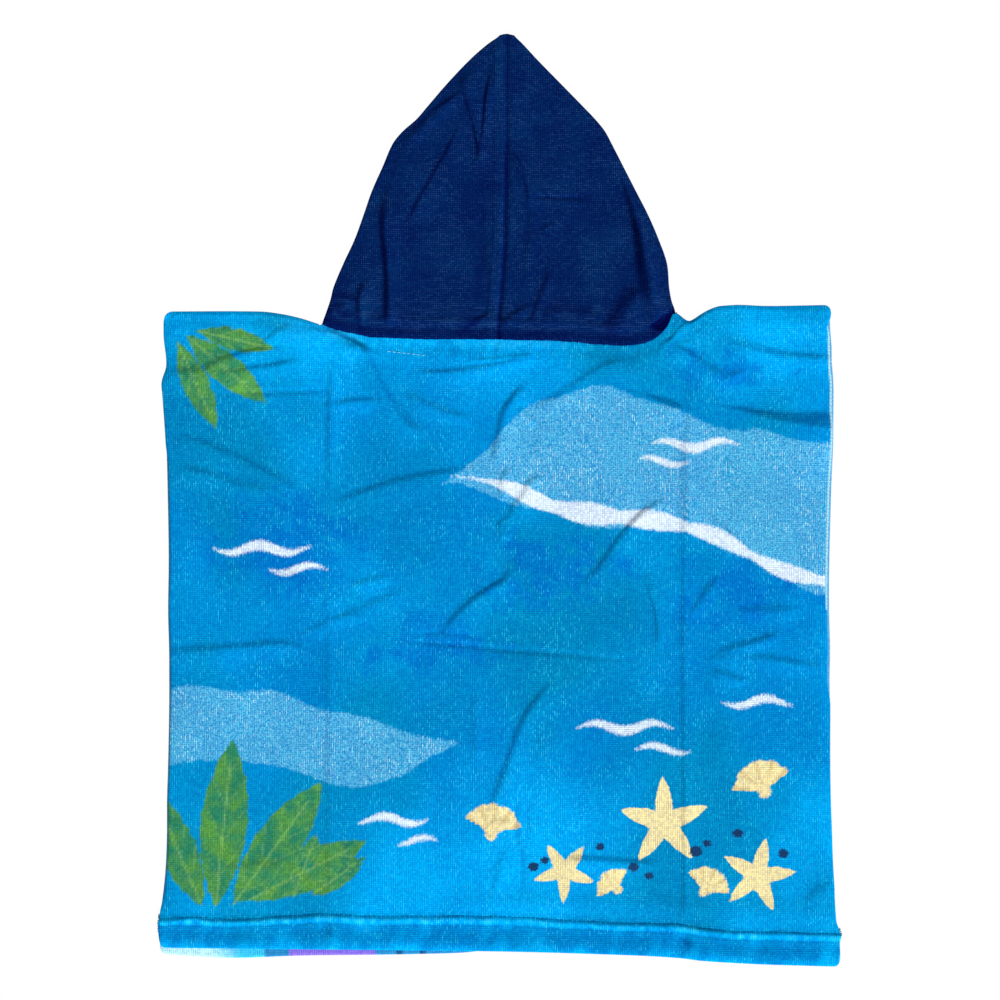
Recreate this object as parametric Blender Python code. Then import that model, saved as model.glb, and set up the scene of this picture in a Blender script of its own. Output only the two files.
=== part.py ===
"""A child's hooded bath poncho of thin towelling, laid out flat on its front with the back up.

The front panel lies on the floor, and the back panel lies on it and turns over at the shoulders. The hood is
two halves, each folded round its own outer edge, which meet along a seam up the middle of the back. Sizes are
in millimetres and become metres where a mesh is made. +X is to the right of someone who looks down on the
back, +Y points from the hem to the tip of the hood, and z = 0 is the floor.
"""
from collections import namedtuple
import math

import bmesh
import bpy

MM = 0.001

# Cloth
CLOTH = 1.6                     # wall of the towelling
GAP = 0.3                       # between two layers, and between two pieces at a seam
BACK_UNDER = CLOTH + GAP        # underside of the back where it lies flat on the front
BACK_BLUE = (0.002, 0.28, 0.68)
FRONT_BLUE = (0.05, 0.45, 0.75)
HOOD_NAVY = (0.002, 0.016, 0.105)
ROUGHNESS = 0.9
SHARP_DEG = 40.0                # an edge that turns by more than this is shaded sharp

# Body
BODY_HALF = 298.0               # half the body's width, where the columns of the panels are set out
CORNER = 8.0                    # round of the corners at the shoulders and at the hem
SIDES_FROM = 170.0              # past here, out from the middle, the columns follow the body's side
SHOULDER_LEFT = -161.0          # where the left shoulder ends and the neck begins
SHOULDER_RIGHT = 160.0
SHOULDER_PUFF = 1.5             # how far the fold at the shoulder stands up
PUFF_OUT = (154.0, 176.0)       # out from the middle, the puff rises between these
PUFF_DOWN = (6.0, 34.0)         # down from the shoulder, it sinks between these
TURN_UNDER = 3.0                # flat cloth past the fold at the shoulder, before the front begins
TURN_STEPS = 5                  # steps round the fold at the shoulder
INSET_LEFT = 1.8                # how far the front shows past the back's left edge, below the armhole
INSET_LEFT_BELOW = (-372.0, -350.0)
INSET_LEFT_ABOVE = (30.0, 52.0)
INSET_RIGHT = 2.7               # how far it shows past the right edge, along the armhole
INSET_RIGHT_BELOW = (-185.0, -160.0)
INSET_RIGHT_ABOVE = (140.0, 158.0)

# Hem
HEM_BAND = 29.0                 # from the folded hem edge up to its stitches
HEM_PLY = 0.9                   # what the turned-up ply adds to a wall
HEM_ROWS = (0.0, 2.5, 13.0, 24.0, 27.0, 29.0, 32.0, 38.0)   # up from the edge, close at the stitches
ABOVE_HEM = 49.0                # where the even rows begin
PLY_END = (27.0, 30.0)          # the ply ends between these
STITCH_DIP = 0.8                # how far the hem stitches pull the cloth down
STITCH_REACH = 1.6
STITCH_BELOW_WALL = 0.3         # how far they may thin the wall itself
FREE_OF_HEM = (29.0, 55.0)      # up from the edge, the back's folds begin between these
OVER_FRONT_HEM = (39.0, 55.0)   # and it comes down off the front's hem between these

# Rows and columns of the panels
BACK_HEIGHT = 585.0             # what the rows are parts of
FRONT_HEIGHT = 580.0
BACK_ROWS = 36
FRONT_ROWS = 9
LEFT_COLUMNS = 11
MIDDLE_COLUMNS = 25
RIGHT_COLUMNS = 10

# The back's lie
CALM_TOP = (4.0, 20.0)          # down from the top edge, its folds begin between these
CALM_SIDE = 16.0                # in from a side edge, they reach their whole height here
AT_SIDE = 0.35                  # the part of their height that is left at the edge
NECK_OUT = (150.0, 162.0)       # out from the middle, the neck gives way to the shoulder

# Neck and hood
LAP = 6.0                       # how far the back's neck edge goes in under the hood
LAP_START = 0.5                 # the neck edge stays this far below its line beside the shoulders
LAP_IN = (4.0, 24.0)            # in from the corner of the neck, the lap begins between these
FRONT_NECK_Y = 72.0             # lowest point of the front neckline
NECK_POWER = 2.5                # how square the front neckline is
NECK_STEPS = 8                  # points on each half of the front neckline
NECK_GAP = 0.25                 # from the neckline to the hood below it and to the front
CORNER_LEFT_Y = 158.0           # where the neck ends on the hood's edge
CORNER_RIGHT_Y = 168.0
MOUTH_Y = 168.0                 # middle of the face opening, on the hood's under layer
MOUTH_RADIUS = 76.0
MOUTH_SIDE_DEG = 95.0           # from its lowest point to where the neck's rows end
MOUTH_TOP_STEPS = 8             # from there to its highest point
NAPE_Y = 144.5
TIP_Y = 420.0
TIP_SHOULDER_Y = 417.0          # where the round of the tip begins
HOOD_LOFT = 1.0                 # room between the hood's two layers
OFF_LAP = (9.0, 28.0)           # up from the seam, the upper layer comes down off the lap between these
HOOD_FREE = (9.0, 32.0)         # and its folds begin between these
HOOD_CALM_SIDE = (4.0, 20.0)    # in from the hood's edge, they begin between these
SEAM_SINK = 0.6                 # how far the middle seam pulls the cloth down
SEAM_REACH = 3.0
UPPER_STEPS = 14                # from the middle seam to the hood's edge
FOLD_STEPS = 4                  # round the edge
UNDER_STEPS = 5                 # and in to the face opening
OUTLINE_STEPS = 24              # up the hood's edge
BESIDE_SEAM = (0.02, 0.07)      # parts of the way across where the columns nearest the seam stand
NEAR_NECK = 0.3                 # the rows follow the neck's bow as far as this part of the way up
BOW_POWER = 12                  # how close to the hood's edge they still follow it

Side = namedtuple("Side", "y left right")
BODY_SIDES = (
    Side(y=-420.0, left=-303.0, right=303.5),
    Side(y=-405.0, left=-304.5, right=306.5),
    Side(y=-392.0, left=-306.0, right=307.5),
    Side(y=-378.0, left=-307.5, right=304.0),
    Side(y=-365.0, left=-304.5, right=302.0),
    Side(y=-347.0, left=-302.0, right=301.0),
    Side(y=-329.0, left=-300.0, right=299.5),
    Side(y=-239.0, left=-299.0, right=298.5),
    Side(y=-185.0, left=-297.5, right=296.5),
    Side(y=-41.0, left=-297.5, right=296.5),
    Side(y=13.0, left=-298.5, right=298.5),
    Side(y=49.0, left=-300.0, right=299.0),
    Side(y=94.0, left=-303.5, right=299.0),
    Side(y=121.0, left=-300.5, right=298.5),
    Side(y=169.0, left=-302.0, right=297.5),
)

Edge = namedtuple("Edge", "x y")
TOP_EDGE = (
    Edge(x=-300.0, y=170.0),
    Edge(x=-216.0, y=170.0),
    Edge(x=-198.0, y=168.0),
    Edge(x=-180.0, y=164.5),
    Edge(x=-161.0, y=158.5),
    Edge(x=-136.0, y=153.5),
    Edge(x=-111.0, y=147.2),
    Edge(x=-60.0, y=145.0),
    Edge(x=0.0, y=144.5),
    Edge(x=60.0, y=142.8),
    Edge(x=98.0, y=139.8),
    Edge(x=113.0, y=139.2),
    Edge(x=128.0, y=142.0),
    Edge(x=142.0, y=149.5),
    Edge(x=158.0, y=167.0),
    Edge(x=169.0, y=164.0),
    Edge(x=182.0, y=168.0),
    Edge(x=198.0, y=175.0),
    Edge(x=216.0, y=176.0),
    Edge(x=234.0, y=175.0),
    Edge(x=300.0, y=175.0),
)
BACK_HEM_EDGE = (
    Edge(x=-300.0, y=-403.0),
    Edge(x=-180.0, y=-404.5),
    Edge(x=0.0, y=-406.5),
    Edge(x=120.0, y=-410.0),
    Edge(x=162.0, y=-411.0),
    Edge(x=182.0, y=-414.5),
    Edge(x=230.0, y=-417.5),
    Edge(x=290.0, y=-420.0),
)
FRONT_HEM_EDGE = (
    Edge(x=-300.0, y=-408.0),
    Edge(x=-233.0, y=-412.0),
    Edge(x=-180.0, y=-409.5),
    Edge(x=-70.0, y=-409.0),
    Edge(x=0.0, y=-405.5),
    Edge(x=160.0, y=-406.0),
    Edge(x=300.0, y=-413.0),
)

Hood = namedtuple("Hood", "y left seam right")
HOOD_EDGES = (
    Hood(y=144.0, left=-163.0, seam=-1.0, right=146.0),
    Hood(y=158.0, left=-160.0, seam=-1.0, right=155.5),
    Hood(y=168.0, left=-156.5, seam=-0.5, right=158.0),
    Hood(y=192.0, left=-149.0, seam=2.0, right=152.5),
    Hood(y=213.5, left=-140.0, seam=3.5, right=150.0),
    Hood(y=235.0, left=-130.0, seam=4.5, right=142.0),
    Hood(y=257.0, left=-122.0, seam=5.0, right=133.0),
    Hood(y=278.5, left=-115.0, seam=5.5, right=122.0),
    Hood(y=300.0, left=-105.0, seam=5.5, right=110.5),
    Hood(y=321.5, left=-96.0, seam=6.0, right=99.5),
    Hood(y=332.5, left=-87.0, seam=6.0, right=93.0),
    Hood(y=354.0, left=-65.5, seam=6.0, right=75.0),
    Hood(y=375.5, left=-46.5, seam=6.0, right=53.5),
    Hood(y=397.5, left=-25.5, seam=6.0, right=32.0),
    Hood(y=417.0, left=-1.5, seam=6.0, right=13.0),
    Hood(y=420.0, left=2.0, seam=6.0, right=10.0),
)

# The largest folds that lie in the cloth: three points along each, its height, and its reach to each side.
Fold = namedtuple("Fold", "name x1 y1 x2 y2 x3 y3 height reach")
BACK_FOLDS = (
    Fold("middle, above", 26, 105, 5, 79, -5, 28, 4.0, 10),
    Fold("middle, centre", 40, 23, 17, -3, 0, -29, 2.6, 10),
    Fold("middle, below", 8, -60, -13, -83, -49, -114, 3.4, 10),
    Fold("middle, long", 49, -162, 16, -210, -10, -279, 4.0, 11),
    Fold("right of the middle", 145, -1, 114, -24, 85, -64, 4.2, 11),
    Fold("neck, right", 122, 126, 77, 109, 33, 85, 3.4, 11),
    Fold("neck, left", -121, 132, -108, 106, -72, 63, 3.0, 10),
    Fold("armhole, right", 205, 85, 239, 77, 296, 68, 4.6, 12),
    Fold("armhole, right above", 208, 142, 252, 134, 296, 128, 2.8, 11),
    Fold("right, short", 117, 99, 140, 90, 172, 81, 3.2, 10),
    Fold("shoulder, left", -268, 119, -238, 132, -205, 139, 3.2, 10),
    Fold("shoulder, left below", -234, 119, -198, 122, -157, 134, 2.6, 10),
    Fold("left, slanting", -295, 57, -243, 40, -178, 8, 3.0, 11),
    Fold("left, rising", -155, -2, -99, 15, -30, 29, 3.0, 11),
    Fold("left, level", -298, -137, -234, -134, -157, -144, 2.8, 10),
    Fold("packed crease, left", -153, 110, -154, -130, -154, -370, 1.6, 10),
    Fold("packed crease, right", 167, 60, 163, -130, 165, -372, 1.6, 10),
    Fold("packed crease, across", -150, -129, 20, -137, 296, -146, 1.2, 10),
)
HOOD_FOLDS = (
    Fold("left, slanting", -39, 331, -55, 301, -82, 253, 3.0, 10),
    Fold("left, near the tip", -34, 374, -27, 342, -21, 307, 2.2, 9),
    Fold("left, upright", -105, 262, -107, 225, -103, 176, 2.8, 9),
    Fold("beside the seam", 14, 320, 24, 285, 26, 230, 2.0, 9),
    Fold("right, upright", 120, 262, 128, 215, 134, 186, 3.2, 10),
    Fold("right, low", 122, 205, 108, 190, 97, 172, 2.6, 10),
)
FOLD_ENDS = 0.15                # the part of a fold's length over which each end tapers
FOLD_FAR = 3.0                  # a fold is felt as far off as this many of its reaches

Wave = namedtuple("Wave", "height along up shift")
FLAT = math.inf
BACK_SWELL = (
    Wave(height=0.3, along=47.0, up=FLAT, shift=0.6),
    Wave(height=0.2, along=90.0, up=38.0, shift=0.0),
)
BACK_SWELL_LEAST = 0.5
HOOD_SWELL = (Wave(height=0.4, along=31.0, up=60.0, shift=0.0),)
HOOD_SWELL_LEAST = 0.8


def smoothstep(low, high, value):
    """0 below low, 1 above high, and a soft step between them."""
    part = min(max((value - low) / (high - low), 0.0), 1.0)
    return part * part * (3.0 - 2.0 * part)


def read(rows, across, column, at):
    """A table's column at a place between two of its rows, on a smooth curve, and level past its ends."""
    places = [getattr(row, across) for row in rows]
    values = [getattr(row, column) for row in rows]
    if at <= places[0]:
        return values[0]
    if at >= places[-1]:
        return values[-1]
    k = sum(place <= at for place in places) - 1

    def slope(n):
        before, after = max(n - 1, 0), min(n + 1, len(rows) - 1)
        return (values[after] - values[before]) / (places[after] - places[before])

    span = places[k + 1] - places[k]
    t = (at - places[k]) / span
    return ((2 * t ** 3 - 3 * t ** 2 + 1) * values[k] + (t ** 3 - 2 * t ** 2 + t) * span * slope(k)
            + (3 * t ** 2 - 2 * t ** 3) * values[k + 1] + (t ** 3 - t ** 2) * span * slope(k + 1))


def spread(first, last, count):
    """count + 1 even steps from first to last."""
    return [first + (last - first) * k / count for k in range(count + 1)]


def mix(start, end, part):
    return start + (end - start) * part


def swell(x, y, least, rows):
    """A slow unevenness of the cloth, as a sum of waves: each row is a height, two lengths and a shift."""
    return least + sum(height * math.sin(x / along + y / up + shift) for height, along, up, shift in rows)


def fold_height(folds, x, y):
    """How far the folds lift the cloth at a point. Each fold tapers to nothing at its ends."""
    lift = 0.0
    for fold in folds:
        points = ((fold.x1, fold.y1), (fold.x2, fold.y2), (fold.x3, fold.y3))
        lengths = [math.dist(points[k], points[k + 1]) for k in (0, 1)]
        nearest, along = None, 0.0
        for k in (0, 1):
            (x1, y1), (x2, y2) = points[k], points[k + 1]
            part = ((x - x1) * (x2 - x1) + (y - y1) * (y2 - y1)) / lengths[k] ** 2
            part = min(max(part, 0.0), 1.0)
            away = math.hypot(x - mix(x1, x2, part), y - mix(y1, y2, part))
            if nearest is None or away < nearest:
                nearest = away
                along = (k * lengths[0] + part * lengths[k]) / sum(lengths)
        if nearest < FOLD_FAR * fold.reach:
            ends = smoothstep(0.0, FOLD_ENDS, along) * smoothstep(0.0, FOLD_ENDS, 1.0 - along)
            lift = max(lift, fold.height * ends * math.exp(-(nearest / fold.reach) ** 2))
    return lift


def wall(name, outer, inner, present, colour):
    """One closed wall between two sheets of points, over the cells of their grid that are present.

    outer and inner are lists of columns of points; present(i, j) says whether the cell between column i and
    i + 1 and row j and j + 1 has cloth.
    """
    cells = {(i, j) for i in range(len(outer) - 1) for j in range(len(outer[0]) - 1) if present(i, j)}
    bm = bmesh.new()
    made = {}

    def vertex(sheet, i, j):
        if (sheet, i, j) not in made:
            point = (outer if sheet == "outer" else inner)[i][j]
            made[sheet, i, j] = bm.verts.new([MM * value for value in point])
        return made[sheet, i, j]

    for i, j in sorted(cells):
        corners = ((i, j), (i + 1, j), (i + 1, j + 1), (i, j + 1))
        bm.faces.new([vertex("outer", *corner) for corner in corners])
        bm.faces.new([vertex("inner", *corner) for corner in reversed(corners)])
        beside = ((i, j - 1), (i + 1, j), (i, j + 1), (i - 1, j))
        for k, neighbour in enumerate(beside):
            if neighbour not in cells:
                a, b = corners[k], corners[(k + 1) % 4]
                rim = (("outer", b), ("outer", a), ("inner", a), ("inner", b))
                bm.faces.new([vertex(sheet, *corner) for sheet, corner in rim])
    bmesh.ops.triangulate(bm, faces=bm.faces)
    bmesh.ops.recalc_face_normals(bm, faces=bm.faces)
    mesh = bpy.data.meshes.new(name)
    bm.to_mesh(mesh)
    bm.free()
    mesh.shade_smooth()
    mesh.set_sharp_from_angle(angle=math.radians(SHARP_DEG))
    piece = bpy.data.objects.new(name, mesh)
    bpy.context.scene.collection.objects.link(piece)
    piece.data.materials.append(cloth_material(name, colour))
    return piece


def cloth_material(name, colour):
    material = bpy.data.materials.new(name)
    material.use_nodes = True
    shader = material.node_tree.nodes["Principled BSDF"]
    shader.inputs["Base Color"].default_value = (*colour, 1.0)
    shader.inputs["Roughness"].default_value = ROUGHNESS
    shader.inputs["Metallic"].default_value = 0.0
    return material


def rounded(x, drop_towards):
    """How far a corner's round moves the top or bottom edge near the body's sides."""
    over = min(max(abs(x) - (BODY_HALF - CORNER), 0.0), CORNER)
    return drop_towards * (CORNER - math.sqrt(CORNER ** 2 - over ** 2))


def top_edge(x):
    return read(TOP_EDGE, "x", "y", x) + rounded(x, -1)


def left_side(y, inset=0.0):
    return read(BODY_SIDES, "y", "left", y) + inset


def right_side(y, inset=0.0):
    return read(BODY_SIDES, "y", "right", y) - inset


def placed(x0, y, inset_left=0.0, inset_right=0.0):
    """Where a column's point lies across the body: the middle stays put, the sides follow their curves."""
    side = left_side(y, inset_left) if x0 < 0 else right_side(y, inset_right)
    return x0 + (side - math.copysign(BODY_HALF, x0)) * smoothstep(SIDES_FROM, BODY_HALF, abs(x0))


def neck_corner(side):
    """Where the hood's fold, the shoulder and both necklines meet; side is -1 for left, 1 for right."""
    edge, y = ("left", CORNER_LEFT_Y) if side < 0 else ("right", CORNER_RIGHT_Y)
    return read(HOOD_EDGES, "y", edge, y), y


def front_neck(x):
    """The front neckline, a squarish curve from neck corner to neck corner."""
    corner_x, corner_y = neck_corner(-1 if x < 0 else 1)
    return corner_y - (corner_y - FRONT_NECK_Y) * (1 - min(abs(x / corner_x), 1.0) ** NECK_POWER)


def neck_columns():
    """Where the points of the front neckline stand, from left to right."""
    left, right = neck_corner(-1)[0], neck_corner(1)[0]
    return spread(left, 0.0, NECK_STEPS) + spread(0.0, right, NECK_STEPS)[1:]


def shoulder_puff(x):
    """How far the fold at the shoulder stands up, which is not at all where the hood laps over the neck."""
    return SHOULDER_PUFF * smoothstep(*PUFF_OUT, abs(x))


def back_lift(x, y):
    """How far the back's underside stands off the flat front."""
    below_top = top_edge(x) - y
    near_top = smoothstep(*CALM_TOP, below_top)
    side = min(x - left_side(y), right_side(y) - x)
    near_side = mix(AT_SIDE, 1.0, smoothstep(0.0, CALM_SIDE, side))
    above_hem = y - read(BACK_HEM_EDGE, "x", "y", x)
    off_hem = smoothstep(*FREE_OF_HEM, above_hem)
    above_front_hem = y - read(FRONT_HEM_EDGE, "x", "y", x)
    over_front_hem = HEM_PLY * (1.0 - smoothstep(*OVER_FRONT_HEM, above_front_hem))
    folds = fold_height(BACK_FOLDS, x, y) + swell(x, y, BACK_SWELL_LEAST, BACK_SWELL)
    puff = shoulder_puff(x) * (1.0 - smoothstep(*PUFF_DOWN, below_top)) * smoothstep(*NECK_OUT, abs(x))
    return folds * near_top * near_side * off_hem + over_front_hem + puff


def hem_wall(above_edge):
    """What the hem adds to a wall: its second ply, pulled down at the stitches."""
    ply = HEM_PLY * (1.0 - smoothstep(*PLY_END, above_edge))
    stitches = STITCH_DIP * math.exp(-((above_edge - HEM_BAND) / STITCH_REACH) ** 2)
    return ply - min(stitches, ply + STITCH_BELOW_WALL)


def hem_rows(height, above):
    """Rows of a panel as parts of its height: close together in the hem, then even steps."""
    return [row / height for row in HEM_ROWS] + spread(ABOVE_HEM / height, 1.0, above)


def back_inset(y):
    """How far the front's side edges show past the back's: left below the armhole, right along it."""
    left = smoothstep(*INSET_LEFT_BELOW, y) * (1.0 - smoothstep(*INSET_LEFT_ABOVE, y))
    right = smoothstep(*INSET_RIGHT_BELOW, y) * (1.0 - smoothstep(*INSET_RIGHT_ABOVE, y))
    return INSET_LEFT * left, INSET_RIGHT * right


def shoulder_columns(side):
    """Where the columns of both panels stand along a shoulder, from left to right."""
    if side < 0:
        return spread(-BODY_HALF, SHOULDER_LEFT, LEFT_COLUMNS)
    return spread(SHOULDER_RIGHT, BODY_HALF, RIGHT_COLUMNS)


def back_panel():
    neck = spread(SHOULDER_LEFT, SHOULDER_RIGHT, MIDDLE_COLUMNS)[1:-1]
    columns = shoulder_columns(-1) + neck + shoulder_columns(1)
    rows = hem_rows(BACK_HEIGHT, BACK_ROWS)
    outer, inner = [], []
    for x0 in columns:
        shoulder = x0 <= SHOULDER_LEFT or x0 >= SHOULDER_RIGHT
        low = read(BACK_HEM_EDGE, "x", "y", x0) + rounded(x0, 1)
        if shoulder:
            turn_radius = (BACK_UNDER + CLOTH + shoulder_puff(x0)) / 2
            high = top_edge(x0) - turn_radius
        else:
            corner_x = neck_corner(-1 if x0 < 0 else 1)[0]
            lapped = smoothstep(*LAP_IN, abs(corner_x) - abs(x0))
            high = top_edge(x0) + mix(-LAP_START, LAP, lapped)
        over, under = [], []
        for row in rows:
            y = mix(low, high, row)
            x = placed(x0, y, *back_inset(y))
            z = BACK_UNDER + back_lift(x, y)
            over.append((x, y, z + CLOTH + hem_wall(y - low)))
            under.append((x, y, z))
        if shoulder:
            x = over[-1][0]
            top = 2 * turn_radius
            over[-1], under[-1] = (x, high, top), (x, high, top - CLOTH)
            for k in range(1, TURN_STEPS + 1):
                angle = math.pi * k / TURN_STEPS
                for sheet, radius in ((over, turn_radius), (under, turn_radius - CLOTH)):
                    sheet.append((x, high + radius * math.sin(angle), turn_radius + radius * math.cos(angle)))
            over.append((x, high - TURN_UNDER, 0.0))
            under.append((x, high - TURN_UNDER, CLOTH))
        else:
            over += [over[-1]] * (TURN_STEPS + 1)
            under += [under[-1]] * (TURN_STEPS + 1)
        outer.append(over)
        inner.append(under)

    def has_cloth(i, j):
        on_shoulder = columns[i + 1] <= SHOULDER_LEFT or columns[i] >= SHOULDER_RIGHT
        return j < len(rows) - 1 or on_shoulder

    return wall("back_panel", outer, inner, has_cloth, BACK_BLUE)


def front_panel():
    left, right = neck_columns()[0], neck_columns()[-1]
    columns = shoulder_columns(-1) + neck_columns() + shoulder_columns(1)
    rows = hem_rows(FRONT_HEIGHT, FRONT_ROWS)
    outer, inner = [], []
    for x0 in columns:
        low = read(FRONT_HEM_EDGE, "x", "y", x0) + rounded(x0, 1)
        turn_radius = (BACK_UNDER + CLOTH + shoulder_puff(x0)) / 2
        shoulder = top_edge(x0) - turn_radius - TURN_UNDER - GAP
        in_neck = left < x0 < right
        high = min(front_neck(x0) - NECK_GAP, shoulder) if in_neck else shoulder
        over, under = [], []
        for row in rows:
            y = mix(low, high, row)
            x = placed(x0, y)
            over.append((x, y, CLOTH + hem_wall(y - low)))
            under.append((x, y, 0.0))
        outer.append(over)
        inner.append(under)
    return wall("front_panel", outer, inner, lambda i, j: True, FRONT_BLUE)


def hood_loft(x, y):
    """Room between the hood's layers: more where it laps over the back's neck edge, and under its folds."""
    above_seam = y - top_edge(x)
    lapped = BACK_UNDER + GAP
    loft = mix(lapped, HOOD_LOFT, smoothstep(*OFF_LAP, above_seam))
    left, right = read(HOOD_EDGES, "y", "left", y), read(HOOD_EDGES, "y", "right", y)
    seam = read(HOOD_EDGES, "y", "seam", y)
    inside = smoothstep(*HOOD_CALM_SIDE, min(x - left, right - x))
    free = smoothstep(*HOOD_FREE, above_seam)
    sink = SEAM_SINK * math.exp(-((x - seam) / SEAM_REACH) ** 2)
    folds = fold_height(HOOD_FOLDS, x, y) + swell(x, y, HOOD_SWELL_LEAST, HOOD_SWELL)
    return loft + free * (inside * folds - sink)


def hood_half(name, side):
    """One half of the hood: its upper layer, the fold at its edge, and its under layer round the face."""
    edge = "left" if side < 0 else "right"
    corner_x, corner_y = neck_corner(side)

    def fold_point(t):
        y = mix(corner_y, TIP_SHOULDER_Y, t)
        return read(HOOD_EDGES, "y", edge, y), y

    def outward(t):
        near = 0.5 / OUTLINE_STEPS
        (x1, y1), (x2, y2) = fold_point(max(t - near, 0.0)), fold_point(min(t + near, 1.0))
        length = math.hypot(x2 - x1, y2 - y1)
        return (y2 - y1) / length * side, -(x2 - x1) / length * side

    def inner_edge(r):
        """The under layer's inner edge: up round the face opening from its lowest point, then up the seam."""
        top_seam_from = NECK_STEPS + MOUTH_TOP_STEPS
        if r <= NECK_STEPS:
            degrees = mix(0.0, MOUTH_SIDE_DEG, r / NECK_STEPS)
        else:
            degrees = mix(MOUTH_SIDE_DEG, 180.0, (r - NECK_STEPS) / MOUTH_TOP_STEPS)
        if r <= top_seam_from:
            angle = math.radians(degrees)
            x = side * max(MOUTH_RADIUS * math.sin(angle), GAP / 2)
            return x, MOUTH_Y - MOUTH_RADIUS * math.cos(angle)
        part = (r - top_seam_from) / (NECK_STEPS + OUTLINE_STEPS - top_seam_from)
        y = mix(MOUTH_Y + MOUTH_RADIUS, TIP_Y, part)
        seam = read(HOOD_EDGES, "y", "seam", y) * smoothstep(0.0, NEAR_NECK, part)
        return seam + side * GAP / 2, y

    upper_parts = [0.0, BESIDE_SEAM[0]] + spread(BESIDE_SEAM[1], 1.0, UPPER_STEPS - 2)
    under_parts = spread(0.0, 1.0, UNDER_STEPS)
    outer_rows, inner_rows = [], []
    for r in range(NECK_STEPS + OUTLINE_STEPS + 1):
        outer, inner = [], []
        t = max(r - NECK_STEPS, 0) / OUTLINE_STEPS
        fold_x, fold_y = fold_point(t)
        normal_x, normal_y = outward(t)
        radius = (hood_loft(fold_x, fold_y) + 2 * CLOTH) / 2
        turn_x, turn_y = fold_x - radius * normal_x, fold_y - radius * normal_y
        seam_y = mix(NAPE_Y, TIP_Y, t)
        seam_x = read(HOOD_EDGES, "y", "seam", seam_y) + side * GAP / 2
        along_neck = 1.0 - smoothstep(0.0, NEAR_NECK, t)
        for part in upper_parts:
            x, y = mix(seam_x, turn_x, part), mix(seam_y, turn_y, part)
            neck_bow = top_edge(x) - mix(NAPE_Y, corner_y, part)
            y += neck_bow * along_neck * (1.0 - part ** BOW_POWER)
            z = CLOTH + hood_loft(x, y) if part < 1.0 else 2 * radius - CLOTH
            outer.append((x, y, z + CLOTH))
            inner.append((x, y, z))
        for k in range(1, FOLD_STEPS):
            angle = math.pi * k / FOLD_STEPS
            for sheet, reach in ((outer, radius), (inner, radius - CLOTH)):
                out, up = reach * math.sin(angle), reach * math.cos(angle)
                sheet.append((turn_x + out * normal_x, turn_y + out * normal_y, radius + up))
        if r < NECK_STEPS:
            start_x = corner_x * r / NECK_STEPS if r else side * GAP / 2
            start_y = front_neck(start_x) + NECK_GAP
        else:
            start_x, start_y = turn_x, turn_y
        end_x, end_y = inner_edge(r)
        for part in under_parts:
            x, y = mix(start_x, end_x, part), mix(start_y, end_y, part)
            outer.append((x, y, 0.0))
            inner.append((x, y, CLOTH))
        outer_rows.append(outer)
        inner_rows.append(inner)

    under_from = UPPER_STEPS + FOLD_STEPS

    def has_cloth(i, j):
        return i >= NECK_STEPS or j >= under_from

    return wall(name, outer_rows, inner_rows, has_cloth, HOOD_NAVY)


def build():
    for old in list(bpy.data.objects):
        bpy.data.objects.remove(old, do_unlink=True)
    bpy.context.scene.unit_settings.system = "METRIC"
    front_panel()
    back_panel()
    hood_half("hood_left", -1)
    hood_half("hood_right", 1)


build()
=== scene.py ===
import math

import bmesh
import bpy
import numpy as np
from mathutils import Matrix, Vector


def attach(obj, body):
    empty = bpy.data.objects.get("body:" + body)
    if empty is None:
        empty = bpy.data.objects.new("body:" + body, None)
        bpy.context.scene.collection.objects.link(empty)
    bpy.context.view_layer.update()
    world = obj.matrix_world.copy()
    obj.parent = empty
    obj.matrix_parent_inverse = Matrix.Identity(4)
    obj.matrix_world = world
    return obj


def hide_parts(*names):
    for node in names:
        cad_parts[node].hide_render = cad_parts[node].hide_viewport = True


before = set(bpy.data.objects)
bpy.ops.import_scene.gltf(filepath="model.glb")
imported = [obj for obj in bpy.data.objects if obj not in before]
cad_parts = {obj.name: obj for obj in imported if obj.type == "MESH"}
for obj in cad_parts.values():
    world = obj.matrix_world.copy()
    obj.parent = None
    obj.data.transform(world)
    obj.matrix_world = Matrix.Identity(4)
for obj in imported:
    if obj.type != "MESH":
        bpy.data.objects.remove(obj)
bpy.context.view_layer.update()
bpy.ops.object.select_all(action="DESELECT")

mm = 0.001

# Sizes are in millimetres, in the frame's own axes, until a mesh is made.
cloth = {
    "wall": 1.6,            # the towelling's own thickness
    "gap": 0.3,             # from one layer to the next
    "hemPly": 0.9,          # what the turned-up ply adds
}
backUnder = cloth["wall"] + cloth["gap"]


# curves, steps and unevenness, which every piece uses

def softStep(low, high, value):
    part = np.clip((value - low) / (high - low), 0.0, 1.0)
    return part * part * (3.0 - 2.0 * part)


def fall(low, high, value):
    return 1 - softStep(low, high, value)


def hump(off, width, power=2):
    return np.exp(-(off / width) ** power)


def mixed(start, end, part):
    return start + (end - start) * part


def roundedDown(off, radius):
    # how far a quarter circle lies below its top, off being the way in from the edge
    return 1 - np.sqrt(1 - (1 - np.clip(off / radius, 0, 1)) ** 2)


def chain(start, *stretches):
    # numbers that go on from start to each stretch's end in its count of even steps
    values = [start]
    for end, steps in stretches:
        values += list(np.linspace(values[-1], end, steps + 1)[1:])
    return np.array(values, float)


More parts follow.
